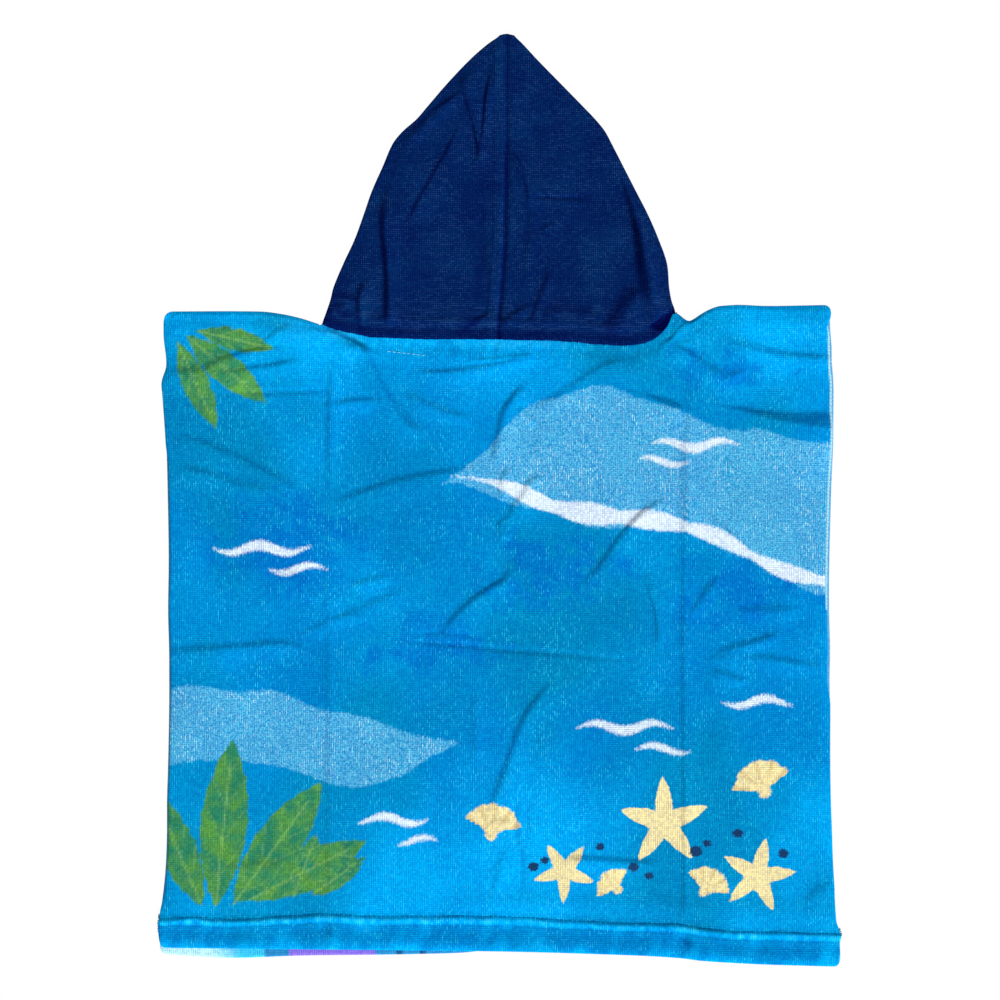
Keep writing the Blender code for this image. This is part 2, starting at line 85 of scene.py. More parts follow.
def curveOf(rows, column=1):
    # a smooth curve through a table's rows, level past its ends
    table = np.array(rows, float)
    places, values = table[:, 0], table[:, column]
    order = np.arange(len(places))
    before, after = np.maximum(order - 1, 0), np.minimum(order + 1, len(places) - 1)
    slopes = (values[after] - values[before]) / (places[after] - places[before])

    def at(place):
        place = np.clip(place, places[0], places[-1])
        k = np.clip(np.searchsorted(places, place, side="right") - 1, 0, len(places) - 2)
        span = places[k + 1] - places[k]
        t = (place - places[k]) / span
        return ((2 * t ** 3 - 3 * t ** 2 + 1) * values[k] + (t ** 3 - 2 * t ** 2 + t) * span * slopes[k]
                + (3 * t ** 2 - 2 * t ** 3) * values[k + 1] + (t ** 3 - t ** 2) * span * slopes[k + 1])

    return at


def unevenness(x, y, size, seed):
    # a smooth wander with lumps of about the given size, mostly from -1 to 1
    draw = np.random.default_rng(seed)
    waves = 12
    total = np.zeros(np.broadcast(x, y).shape)
    for _ in range(waves):
        turn, shift = draw.uniform(0, math.tau, 2)
        length = size * draw.uniform(0.7, 1.7)
        total += np.sin((x * math.cos(turn) + y * math.sin(turn)) * math.tau / length + shift)
    return total / math.sqrt(waves)


def smoothPath(points):
    # a soft curve through a few given points
    steps = 7
    p = np.array(points, float)
    p = np.vstack([2 * p[0] - p[1], p, 2 * p[-1] - p[-2]])
    t = np.linspace(0, 1, steps, endpoint=False)[:, None]
    parts = []
    for a, b, c, d in zip(p, p[1:], p[2:], p[3:]):
        parts.append(0.5 * (2 * b + (c - a) * t + (2 * a - 5 * b + 4 * c - d) * t ** 2
                            + (3 * b - a - 3 * c + d) * t ** 3))
    return np.vstack([*parts, p[-2:-1]])


def nearestOnPath(path, x, y):
    # distance to a path, which side of it, and how far along it, from 0 to 1
    spans = path[1:] - path[:-1]
    lengths = np.hypot(*spans.T)
    starts = np.concatenate([[0.0], np.cumsum(lengths)])
    away, side, along = np.full(x.shape, np.inf), np.zeros(x.shape), np.zeros(x.shape)
    for k, (sx, sy) in enumerate(spans):
        rx, ry = x - path[k, 0], y - path[k, 1]
        part = np.clip((rx * sx + ry * sy) / lengths[k] ** 2, 0.0, 1.0)
        here = np.hypot(rx - part * sx, ry - part * sy)
        closer = here < away
        away = np.where(closer, here, away)
        side = np.where(closer, sx * ry - sy * rx, side)
        along = np.where(closer, starts[k] + part * lengths[k], along)
    return away, side, along / starts[-1]


def closeTo(path, reach, x, y):
    low, high = path.min(axis=0) - reach, path.max(axis=0) + reach
    return (x > low[0]) & (x < high[0]) & (y > low[1]) & (y < high[1])


def tapered(along, share):
    return softStep(0.0, share, along) * softStep(0.0, share, 1.0 - along)


def creaseShade(creases, x, y):
    shade = np.ones(x.shape)
    for depth, reach, *points in creases:
        path = smoothPath(points)
        near = closeTo(path, 2 * reach, x, y)
        away, _, along = nearestOnPath(path, x[near], y[near])
        shade[near] *= 1 - depth * tapered(along, 0.16) * hump(away, reach, 4)
    return shade


def foldLift(folds, x, y):
    # ridges and troughs laid one by one; a fold's steep flank is on the left of its path
    ridges, troughs = np.zeros(x.shape), np.zeros(x.shape)
    for height, steep, gentle, *points in folds.values():
        path = smoothPath(points)
        near = closeTo(path, 3 * max(*np.atleast_1d(steep), gentle), x, y)
        away, side, along = nearestOnPath(path, x[near], y[near])
        # the path runs along the flank that turns from the light, and the crest stands beside it
        first, last = steep if isinstance(steep, tuple) else (steep, steep)
        flank = 0.66 * mixed(first, last, along)
        off = np.copysign(away, side) + (0.7 if height > 0 else -0.7) * flank
        width = np.where(off > 0, flank, (0.8 if height > 0 else 0.66) * gentle)
        width = width * (1 + 0.22 * np.sin(7.3 * along + 3 * height))
        lift = abs(height) * tapered(along, 0.27) * hump(off, width)
        if height > 0:
            ridges[near] += lift ** 3
        else:
            troughs[near] += lift
    return np.cbrt(ridges) - troughs


def newPiece(name, points, faces):
    mesh = bpy.data.meshes.new(name)
    mesh.from_pydata((points * mm).tolist(), [], faces)
    mesh.shade_smooth()
    piece = bpy.data.objects.new(name, mesh)
    bpy.context.scene.collection.objects.link(piece)
    return piece


def clothPiece(name, outer, inner, step=1, present=None):
    # outer is a fine grid of points; inner is its underside, of which every step-th point is used
    across, up = outer.shape[0] - 1, outer.shape[1] - 1
    blocks = np.ones((across // step, up // step), bool) if present is None else present
    cells = np.kron(blocks, np.ones((step, step), bool)).astype(bool)

    def number(have, first):
        used = np.zeros((have.shape[0] + 1, have.shape[1] + 1), bool)
        for di in (0, 1):
            for dj in (0, 1):
                used[di:di + have.shape[0], dj:dj + have.shape[1]] |= have
        ids = np.full(used.shape, -1)
        ids[used] = np.arange(first, first + used.sum())
        return used, ids

    outerUsed, outerIds = number(cells, 0)
    innerUsed, innerIds = number(blocks, outerUsed.sum())
    points = np.vstack([outer[outerUsed], inner[::step, ::step][innerUsed]])

    def quads(have, ids):
        i, j = np.nonzero(have)
        return np.stack([ids[i, j], ids[i + 1, j], ids[i + 1, j + 1], ids[i, j + 1]], axis=1)

    faces = quads(cells, outerIds).tolist() + quads(blocks, innerIds)[:, ::-1].tolist()
    padded = np.pad(blocks, 1)
    for i, j in np.argwhere(blocks):
        corners = ((i, j), (i + 1, j), (i + 1, j + 1), (i, j + 1))
        beside = (padded[i + 1, j], padded[i + 2, j + 1], padded[i + 1, j + 2], padded[i, j + 1])
        for k in range(4):
            if not beside[k]:
                (ai, aj), (bi, bj) = corners[k], corners[(k + 1) % 4]
                spots = [(bi * step + (ai - bi) * n, bj * step + (aj - bj) * n) for n in range(step + 1)]
                rim = [int(outerIds[spot]) for spot in spots]
                faces.append(rim + [int(innerIds[ai, aj]), int(innerIds[bi, bj])])
    piece = newPiece(name, points, faces)
    bm = bmesh.new()
    bm.from_mesh(piece.data)
    bmesh.ops.triangulate(bm, faces=[face for face in bm.faces if len(face.verts) > 4])
    bmesh.ops.recalc_face_normals(bm, faces=bm.faces)
    bm.to_mesh(piece.data)
    bm.free()
    return piece


def lowestAround(grid, reach):
    # the lowest value within reach cells, so that a coarse underside never comes through the fine top
    for axis in (0, 1):
        pads = [(reach, reach) if axis == k else (0, 0) for k in (0, 1)]
        wide = np.pad(grid, pads, mode="edge")
        size = grid.shape[axis]
        grid = np.min([np.take(wide, range(n, n + size), axis) for n in range(2 * reach + 1)], axis=0)
    return grid


def paint(piece, name, values):
    # a value for every point of a mesh, which its material reads
    attribute = piece.data.attributes.new(name, "FLOAT", "POINT")
    attribute.data.foreach_set("value", np.asarray(values, np.float32))


def placesOf(piece):
    places = np.empty(len(piece.data.vertices) * 3)
    piece.data.vertices.foreach_get("co", places)
    x, y, z = places.reshape(-1, 3).T / mm
    return x, y, z


# the body: a front and a back
body = {
    "half": 298.0,
    "corner": 5.5,
    "topCorners": (8.0, 6.5),   # left and right
    "shoulderLeft": -163.0,
    "shoulderRight": 160.0,
    "neckCornerLeft": 160.5,    # how far from the middle the back starts to lap under the hood
    "neckCornerRight": 158.0,
    "lap": (0.3, 6.0),          # at the neck's corners and between them
    "sidesFrom": 170.0,
    "turnUnder": 3.0,
    "edgeDrops": (0.75, 0.15),  # how much the outermost columns are rounded down
    "hemBand": 29.0,
    "aboveHem": 60.0,           # any height over the hem's edge where the hem has no more effect
    "insetLeft": 1.8,           # how far the front shows past the back, on the left
    "insetRight": 2.7,
    # the grid's lines, as stretches: where each ends and how many steps it has
    "backColumns": [(-297.1, 1), (-295.4, 1), (-163, 66), (136, 136), (160, 24), (176, 16), (295.4, 54),
                    (297.1, 1), (298, 1)],
    "backHemRows": [(0.5, 1), (1.3, 1), (2.5, 1), (4.2, 1), (6.5, 1), (18.5, 5), (19.8, 1), (27, 7),
                    (27.6, 1), (31, 8), (32, 1), (33.4, 1), (35.2, 1), (37.4, 1), (40, 1)],
    "frontHemRows": [(0.5, 1), (1.3, 1), (2.5, 1), (4.2, 1), (7, 1), (22, 4), (24, 1), (34, 8), (40, 1)],
    "sides": [                  # y, left, right
        (-420, -305, 306), (-405, -306.5, 306), (-398, -306.5, 306), (-392, -307, 307), (-387, -307.5, 305.5),
        (-380, -307.5, 303), (-370, -306, 302), (-347, -303, 301), (-329, -301.5, 300), (-300, -300.5, 299),
        (-272, -300.5, 298), (-239, -299.5, 297.5), (-185, -298.5, 297.5), (-150, -298.5, 297.5),
        (-137, -298.5, 298), (-100, -299.5, 297), (-66, -299, 297), (-41, -299, 297.5), (13, -300, 299),
        (49, -301, 300.5), (94, -304, 301), (106, -304.5, 301), (121, -300.5, 299.5), (145, -302.5, 299),
        (160, -303, 297), (169, -303, 298.5)],
    "top": [                    # x, y
        (-300, 170), (-216, 170), (-198, 168), (-180, 164), (-163, 158.5), (-150, 154.5), (-134, 151),
        (-118, 147.5), (-90, 146), (-60, 145), (0, 144.5), (60, 142.8), (98, 139.8), (113, 139.2), (122, 140),
        (131, 142), (139, 145.5), (146.5, 151.5), (152, 158), (158, 168.5), (161, 167.5), (166, 163.5),
        (170.5, 161.5), (175, 163.5), (181, 167.5), (187, 171), (196, 174.5), (205, 175.5), (216, 176),
        (240, 175), (276, 175.5), (300, 176)],
    "backHem": [(-300, -403), (-180, -404.5), (0, -406.5), (120, -410), (162, -412.5), (182, -415),
                (230, -418), (290, -420)],
    "frontHem": [(-300, -409.5), (-264, -412), (-233, -413), (-180, -411), (-96, -410), (-70, -409.5),
                 (-36, -408.5), (0, -405.5), (160, -406), (300, -413)],
    "hemStitches": [(-305, -377.5), (-270, -375.5), (-240, -377.5), (-206, -375.5), (-180, -373.5),
                    (-157, -372.5), (-130, -374), (-110, -374.5), (10, -375), (80, -379.5), (162, -382),
                    (194, -387), (250, -389), (306, -390.5)],
    "hemDimples": [             # x, depth, reach
        (-157, 1.2, 4.5), (-124, 0.6, 6), (-236, 0.5, 9), (4, 0.8, 5), (168, 1.4, 4.5), (236, 0.5, 8)],
}

# a fold's height, the reach of its steep flank and of its gentle one, and its path, with the steep flank on
# the left; where the steep flank opens into a facet, its reach is given for both ends
backFolds = {
    "left shoulder": (1.8, (8, 4), 16, (-345, 113), (-320, 114), (-297.5, 115.5), (-269, 117.5),
        (-250, 127), (-228, 134), (-205.5, 137), (-183, 136)),
    "left shoulder, below": (2.1, 4.5, 13, (-268, 117), (-242, 116), (-224.5, 119.5), (-208.5, 121.5),
        (-191, 124.5), (-174, 127)),
    "left shoulder, above": (1.2, 4, 10, (-217, 141), (-209, 146), (-189, 160), (-180, 164)),
    "left, slanting": (1.4, 4.5, 16, (-301, 58), (-279, 56), (-256, 47), (-229, 36), (-207, 25), (-168, 4)),
    "left, slanting below": (1.5, 4, 12, (-294, 31), (-270, 27), (-229, 14), (-193, 9)),
    "left, rising": (1.5, 4, 17, (-162, -5), (-121, 9), (-90, 18), (-34, 29), (-10, 32)),
    "left, short": (1.6, 2.8, 9, (-168, 84), (-149, 87), (-130, 90), (-104, 90), (-88, 88)),
    "left, fine": (-1.2, 2.4, 2.4, (-264, 95), (-202, 96), (-146, 98)),
    "neck, left": (4.6, 4.5, 15, (-160, 153), (-139, 147), (-130, 142.5), (-119, 134), (-110, 115),
        (-99, 92), (-85, 70), (-62, 60)),
    "neck, left inside": (1.6, 4, 10, (-90, 100), (-56, 83), (-20, 73)),
    "under the hood": (1.5, 4, 12, (-86, 117), (-45, 116), (0, 124), (34, 133)),
    "under the hood, above": (0.9, 3, 8, (-36, 126), (9, 129), (42, 134)),
    "left, tick": (1.2, 3, 7, (-192, -58), (-184, -67), (-167.5, -85), (-160, -93)),
    "left, low wrinkle": (1.4, 3.5, 8, (-162, -108), (-151.5, -106), (-128, -102.5), (-116, -101)),
    "left, low wrinkle above": (1.2, 3.5, 8, (-138, -77), (-129.5, -74.5), (-107, -69.5), (-97, -67)),
    "left, low and rising": (1.0, 4, 14, (-193, -126), (-153, -108), (-113, -92), (-78, -75)),
    "middle, above": (2.2, 4.4, 16, (-8, 26), (1, 76), (9, 90), (28, 112)),
    "middle, beside it": (1.4, 4, 8, (-2, -3), (1, 13), (6, 33)),
    "neck, right": (1.2, 5, 16, (20, 79), (59, 99), (81, 115), (104, 125), (128, 132)),
    "neck, right tick": (1.9, 3, 8, (16, 87), (34, 68)),
    "right, above": (2.4, (4, 9), 12, (149, 145), (165, 136), (178, 128), (190.5, 118.5), (200.5, 113.5),
        (213, 108)),
    "right, above, tick": (1.4, 3, 8, (188, 105), (197, 108.5), (213, 115), (222, 119)),
    "armhole, right above": (2.1, (9, 4), 14, (186, 146), (211, 142), (232, 137), (253, 132), (293, 129),
        (330, 127)),
    "middle, centre": (1.6, 4, 12, (0, -30), (9, -11), (20, 4), (27, 18), (44, 25)),
    "middle, tick": (1.9, 3, 6, (3, -38), (-3, -18)),
    "right of the middle": (2.0, 3.8, 17, (66, -83), (80, -70), (91, -57), (104, -37.5), (117, -21.5),
        (130, -9), (144, -1), (158, 6)),
    "right, fine": (1.2, 2.2, 5, (183, -5), (207, -29), (225, -54), (241, -84)),
    "right, low": (1.9, 3, 9, (141, -138), (140, -104), (127, -65)),
    "right, low beside it": (1.4, 3.5, 10, (165, -109), (182, -86), (197, -66)),
    "right, low and rising": (2.0, 4, 12, (190, -138), (230, -126), (256, -117)),
    "right, low and level": (1.3, 4, 10, (208, -99), (274, -97)),
    "middle, below": (1.9, 3.8, 15, (-60, -127), (-49, -115), (-38, -101.5), (-26.5, -90.5), (-15.5, -82.5),
        (-4, -75), (2.5, -71.5), (7, -63.5), (13, -50)),
    "left, level": (1.9, 4.5, 15, (-345, -137), (-302, -136), (-247, -132), (-191, -128), (-153, -144)),
    "packed, across": (-1.1, 2.6, 2.6, (-115, -124), (-85, -127.5), (-62.5, -129.5), (-22, -133),
        (7, -136.5), (36.5, -138), (65, -140), (114, -144.5), (140, -146)),
    "packed, across, above": (-0.6, 2.4, 2.4, (-92, -125), (-76, -122), (-49, -120), (-22, -124),
        (-8, -128)),
    "middle, long": (2.0, 4.8, 17, (-14, -292), (-9, -277), (5, -241), (16, -205), (32, -178), (54, -156)),
    "middle, long, tick": (1.1, 3, 7, (-12, -288), (16, -289)),
    "low, upright": (1.0, 3, 8, (-22, -242), (-25, -166)),
    "low, middle": (1.1, 3.5, 9, (-9, -361), (-4, -342), (4, -311)),
    "low, middle trough": (-1.5, 2.6, 2.6, (20, -363), (20, -324), (15, -302), (13, -262)),
    "low, middle fine": (-0.8, 2.4, 2.4, (25, -316), (25, -260)),
    "low, left": (1.0, 5, 14, (-253, -330), (-190, -326)),
    "low, right": (1.8, 3.2, 12, (47, -321), (63, -322), (89, -322.5), (131.5, -325), (150, -326)),
    "right, level": (1.6, 4, 12, (178, -144), (216, -139), (298, -150)),
    "right, level, tick": (1.8, 3, 8, (190, -151), (224, -164)),
    "low, right side": (1.4, 7, 14, (270, -361), (304, -339)),
    "packed, left": (0.8, 4, 8, (-157, -470), (-156, -376), (-155, -234), (-156, -126), (-154, 22),
        (-153, 60)),
    "packed, left above": (1.6, 4, 9, (-154.5, 4), (-154.5, 34), (-154, 66), (-153.5, 98), (-153, 136)),
    "packed, right": (1.1, 4, 9, (164.5, -470), (164.5, -376), (165, -216), (164.5, -104), (165, 0),
        (166, 40)),
    "packed, right above": (1.2, 7, 12, (164, -75), (165, -10), (165.5, 40), (167, 78), (168, 112)),
}

# a facet that faces up the back: its slope, how far it fades out below, then x, upper edge and lower edge
facets = {
    "armhole, right": (0.42, 60, (200, 85, 85), (216.5, 84, 80.5), (235.5, 81.5, 75), (258, 79.5, 70),
        (280.5, 79.5, 66.5), (296, 79, 64.5), (306, 78.5, 63)),
    "right, short": (0.45, 32, (117.5, 98, 98), (135.5, 94.5, 92), (149, 92, 86), (160.5, 88, 82),
        (167, 81.5, 81)),
}

cornerFolds = {
    "over the strip": (0.9, 1.3, 8, (141, 138), (146, 141), (153.5, 145.5), (156, 148), (160, 153.5),
        (168, 160), (182, 172)),
    "below it": (0.5, 1.3, 6, (147, 145), (154, 145.5), (159, 144.5), (164.5, 143.5), (176, 141.5)),
    "left, at the hood": (1.7, 3.4, 9, (-184, 158), (-165, 153.5), (-154, 152), (-145, 149.5),
        (-136, 145.5), (-128, 141.5), (-119, 136.5), (-106, 127)),
}

# how much light is lost deep in a crease, within what reach of its line, and the line
backCreases = [
    (0.22, 2.2, (-160, 156), (-150, 151.8), (-141, 147.5), (-133, 142.5)),
    (0.06, 2.4, (-298, 116), (-269, 117.5), (-250, 127), (-228, 134), (-205.5, 137)),
    (0.14, 2.4, (-140, 150), (-131, 144), (-123, 136.5), (-117, 127), (-110.5, 114.5), (-104, 101.5),
     (-94.5, 89), (-85, 78), (-74, 65.5), (-62.5, 61.5)),
    (0.12, 1.9, (-296, 59), (-275, 55.5), (-256, 49.5), (-237, 40), (-215, 29), (-193, 16), (-174, 5)),
    (0.08, 1.9, (-291, 32), (-247, 22.5), (-208.5, 13), (-189.5, 3.5)),
    (0.08, 1.8, (-155, -3), (-132.5, 4), (-113.5, 11.5), (-88.5, 20), (-63, 25.5), (-31, 30)),
    (0.12, 2.0, (-154, 102), (-155, 66), (-154.5, 32)),
    (0.06, 1.8, (-156, -135), (-156, -376)),
    (0.1, 1.5, (-154, 86), (-132.5, 90), (-120, 91), (-98, 89.5)),
    (0.08, 1.6, (-228, 95.5), (-152, 98)),
    (0.1, 1.9, (-77, 117.5), (-37.5, 116), (-8.5, 120), (14, 125), (36.5, 129.5)),
    (0.13, 2.6, (28.5, 107), (14, 97.5), (6, 84.5), (1, 71.5), (-2, 55.5), (-5.5, 39.5), (-7, 30)),
    (0.06, 2.4, (33, 87.5), (55.5, 99), (75, 110), (91, 120), (104, 126)),
    (0.1, 2.6, (165, 136), (178, 128), (190.5, 118.5), (200.5, 113.5)),
    (0.06, 2.0, (196, 108), (213, 115)),
    (0.14, 1.5, (110, 100), (124, 97), (138, 93), (150, 88)),
    (0.16, 1.5, (190, 86), (206, 84), (222, 81.5), (244, 77)),
    (0.1, 2.2, (200, 144), (223, 136.5), (248.5, 133.5), (294, 130)),
    (0.07, 4.5, (166.5, 84), (165.5, 40), (165, -10), (164.5, -45)),
    (0.05, 1.8, (164, -60), (164.5, -376)),
    (0.1, 2.0, (144, -1), (130, -9), (117, -21.5), (104, -37.5), (91, -57), (80, -70)),
    (0.06, 1.6, (181, -9), (216.5, -37.5), (229.5, -63.5), (239, -76)),
    (0.12, 2.2, (7, -63.5), (2.5, -71.5), (-4, -75), (-15.5, -82.5), (-26.5, -90.5), (-38, -101.5),
     (-49, -115)),
    (0.12, 1.8, (-85, -127.5), (-62.5, -129.5), (-22, -133), (7, -136.5), (36.5, -138), (65, -140)),
    (0.06, 1.7, (-76, -122), (-49, -120), (-22, -124), (-11, -127)),
    (0.12, 2.3, (50, -160.5), (37, -172), (24, -191.5), (14.5, -211), (6, -234), (-2, -256.5), (-9, -277.5),
     (-12, -285.5)),
    (0.12, 1.8, (63, -322), (89, -322.5), (112, -324), (131.5, -325)),
    (0.09, 1.8, (15.5, -270), (16, -299), (20.5, -319), (19, -338), (16, -374)),
    (0.22, 2.6, (160, -394), (167, -397), (171, -405)),
    (0.15, 2.2, (-13, -402), (-5.5, -393), (8, -386)),
    (0.15, 2.6, (-164, -393), (-157, -385), (-152, -393)),
]

topAt, backHemAt, frontHemAt = curveOf(body["top"]), curveOf(body["backHem"]), curveOf(body["frontHem"])
leftAt, rightAt = curveOf(body["sides"], 1), curveOf(body["sides"], 2)
hemStitchesAt = curveOf(body["hemStitches"])


def cornerRound(x, size=body["corner"]):
    over = np.clip(np.abs(x) - (body["half"] - size), 0.0, size)
    return size - np.sqrt(size ** 2 - over ** 2)


def topEdge(x):
    return topAt(x) - cornerRound(x, np.where(x < 0, *body["topCorners"]))


def acrossBody(x0, y, insetLeft=0.0, insetRight=0.0):
    # the middle stays put, and the sides follow their curves
    side = np.where(x0 < 0, leftAt(y) + insetLeft, rightAt(y) - insetRight)
    out = softStep(body["sidesFrom"], body["half"], np.abs(x0))
    return x0 + (side - np.copysign(body["half"], x0)) * out


def insets(y):
    left = softStep(-372, -350, y) * fall(30, 52, y)
    right = softStep(-185, -160, y) * fall(155, 164, y)
    return body["insetLeft"] * left, body["insetRight"] * right


def shoulderRoll(x, below):
    # the rolled fold at the shoulder: higher and broader on the right
    out = softStep(154, 176, np.abs(x))
    far = softStep(215, 285, x)
    height, width = np.where(x < 0, 0.9, 0.9 + 0.5 * far), np.where(x < 0, 4.5, 4.5 + 2.0 * far)
    return out * height * softStep(0, width, below) * fall(13, 38, below)


# the hem's forms: height over its edge, reach, and how far it stands out; with two reaches, above and below
hem = {
    "ply": (26.4, 33.2),        # from and to where the turned-up ply ends
    "groove": (29.5, 0.8, -0.17),
    "roll": (26.4, 2.2, 2.6, 0.85),
    "hollows": [(22.2, 0.9, -0.45), (17.0, 4.5, -0.35)],
    "lip": (7.0, 7.0, 3.5, 0.5),
    "roundEdge": (3.2, 1.5),    # reach and depth
}


def hemShape(above, x):
    # the turned-up ply, the groove of its stitches, the roll below them and the round lower edge
    def along(size, seed, slant=0.0):
        return unevenness(x + slant, 0 * x, size, seed)

    above = above + 0.35 * along(26, 16) * softStep(18, 24, above)
    ply = cloth["hemPly"] * fall(*hem["ply"], above)
    place, reach, lift = hem["groove"]
    groove = (lift - 0.06 * softStep(-150, 0, x) + 0.17 * along(13, 15)) * hump(above - place, reach)
    place, reachUp, reachDown, lift = hem["roll"]
    crest = above - place + 0.4 * along(23, 12)
    roll = (lift + 0.25 * along(31, 13)) * hump(crest, np.where(crest > 0, reachUp, reachDown))
    hollow = sum(lift * hump(above - place, reach) for place, reach, lift in hem["hollows"])
    place, reachUp, reachDown, lift = hem["lip"]
    lip = lift * hump(above - place, np.where(above > place, reachUp, reachDown))
    puckers = 0.26 * along(15, 5, 0.35 * above) * softStep(2, 7, above) * fall(20, 27, above)
    for dimpleX, depth, reach in body["hemDimples"]:
        puckers = puckers - depth * np.exp(-((x - dimpleX) / reach) ** 2 - ((above - 17) / 6) ** 2)
    edgeReach, edgeDepth = hem["roundEdge"]
    return ply + groove + roll + hollow + lip + puckers - edgeDepth * roundedDown(above, edgeReach)


def facetEdges(x):
    # each facet's slope and fading reach, its ends, and its two edges at x
    for slope, reach, *rows in facets.values():
        yield slope, reach, rows[0][0], rows[-1][0], curveOf(rows, 1)(x), curveOf(rows, 2)(x)


def facetLift(x, y):
    lift = np.zeros(x.shape)
    for slope, reach, first, last, upper, lower in facetEdges(x):
        width = np.where((x > first) & (x < last), np.maximum(upper - lower, 0.0), 0.0)
        lift += slope * np.clip(upper - y, 0.0, width) * fall(0, reach, lower - y)
    return lift


def facetShade(x, y):
    shade = np.ones(x.shape)
    for _, _, first, last, upper, lower in facetEdges(x):
        across = softStep(first, first + 12, x) * (x < last)
        shade *= 1 - 0.14 * across * softStep(-0.6, 0.9, upper - y) * softStep(-1.5, 2.5, y - lower)
    return shade


def backLift(x, y):
    # how far the back's underside stands off the flat front
    below = topEdge(x) - y
    side = np.minimum(x - leftAt(y), rightAt(y) - x)
    swell = (1.2 + 0.3 * np.sin(x / 47 + 0.6) + 0.2 * np.sin(y / 38 + x / 90)
             + 0.28 * unevenness(x, y, 85, 2) + 0.09 * unevenness(x, y, 26, 3))
    offHem = softStep(body["hemBand"], body["hemBand"] + 20, y - backHemAt(x))
    overFrontHem = cloth["hemPly"] * fall(39, 55, y - frontHemAt(x))
    neckPuckers = 0.3 * unevenness(x, 0.25 * y, 11, 4) + 0.14 * unevenness(x, 0.1 * y, 6.5, 18)
    neckPuckers = neckPuckers * softStep(1, 5, below) * fall(10, 22, below)
    neckPuckers = neckPuckers * fall(140, 165, np.abs(x))
    folds = (foldLift(backFolds, x, y) + swell) * softStep(3, 18, below)
    folds = folds * mixed(0.55, 1.0, softStep(0, 14, side)) * offHem
    folds = folds + facetLift(x, y) * mixed(0.7, 1.0, softStep(0, 14, side))
    atCorners = foldLift(cornerFolds, x, y) * softStep(-2, 1, below)
    return np.maximum(folds + neckPuckers, 0.0) + atCorners + overFrontHem + shoulderRoll(x, below)


def edgeDrop(columns):
    drop = np.zeros(len(columns))
    drop[[0, -1]], drop[[1, -2]] = body["edgeDrops"]
    return drop[:, None]


def buildBack():
    grid = {"rows": 256, "turn": 8, "flat": 4, "coarse": 4}
    columns = chain(-body["half"], *body["backColumns"])
    hemRows = chain(0, *body["backHemRows"])
    onShoulder = (columns <= body["shoulderLeft"]) | (columns >= body["shoulderRight"])
    x0 = columns[:, None]
    low = backHemAt(x0) + cornerRound(x0)
    band = (hemStitchesAt(x0) - low) / body["hemBand"]
    turnRadius = (backUnder + cloth["wall"]) / 2
    cornerX = np.where(x0 < 0, body["neckCornerLeft"], body["neckCornerRight"])
    lapped = mixed(*body["lap"], softStep(-0.5, 5, cornerX - np.abs(x0)))
    high = topEdge(x0) + np.where(onShoulder[:, None], -turnRadius, lapped)
    spacing = mixed(1.0, 0.5, softStep(0.83, 0.9, np.linspace(0, 1, grid["rows"])))     # closer near the top
    part = np.cumsum(spacing)
    part = part / part[-1]
    y = np.concatenate([low + hemRows * band, mixed(low + hemRows[-1] * band, high, part)], axis=1)
    pastHem = np.full(grid["rows"], body["aboveHem"])
    above = np.broadcast_to(np.concatenate([hemRows, pastHem]), y.shape)
    x = acrossBody(np.broadcast_to(x0, y.shape), y, *insets(y))
    z = backUnder + backLift(x, y)
    z[onShoulder, -1] = backUnder
    top = z + cloth["wall"] + hemShape(above, x) - edgeDrop(columns)

    turn = [math.pi * k / grid["turn"] for k in range(1, grid["turn"] + 1)]
    flat = [high - body["turnUnder"] * k / grid["flat"] for k in range(1, grid["flat"] + 1)]

    def overShoulder(sheetZ, radius, flatZ):
        # a sheet that goes on round the fold at the shoulder, and then flat under it
        ys = [y] + [high + radius * math.sin(angle) for angle in turn] + flat
        zs = [sheetZ] + [turnRadius + radius * math.cos(angle) + 0 * high for angle in turn]
        zs += [0 * high + flatZ] * grid["flat"]
        xs = np.pad(x, ((0, 0), (0, grid["turn"] + grid["flat"])), mode="edge")
        return np.stack([xs, np.concatenate(ys, axis=1), np.concatenate(zs, axis=1)], axis=2)

    step = grid["coarse"]
    outer = overShoulder(top, turnRadius, 0.0)
    inner = overShoulder(lowestAround(z, step), turnRadius - cloth["wall"], cloth["wall"])
    present = np.ones((outer.shape[0] // step, outer.shape[1] // step), bool)
    neckBlocks = ~(onShoulder[:-1:step] & onShoulder[step::step])
    present[neckBlocks, y.shape[1] // step:] = False
    return clothPiece("backCloth", outer, inner, step, present)


backCloth = buildBack()
print("the back is laid:", len(backCloth.data.polygons), "faces")


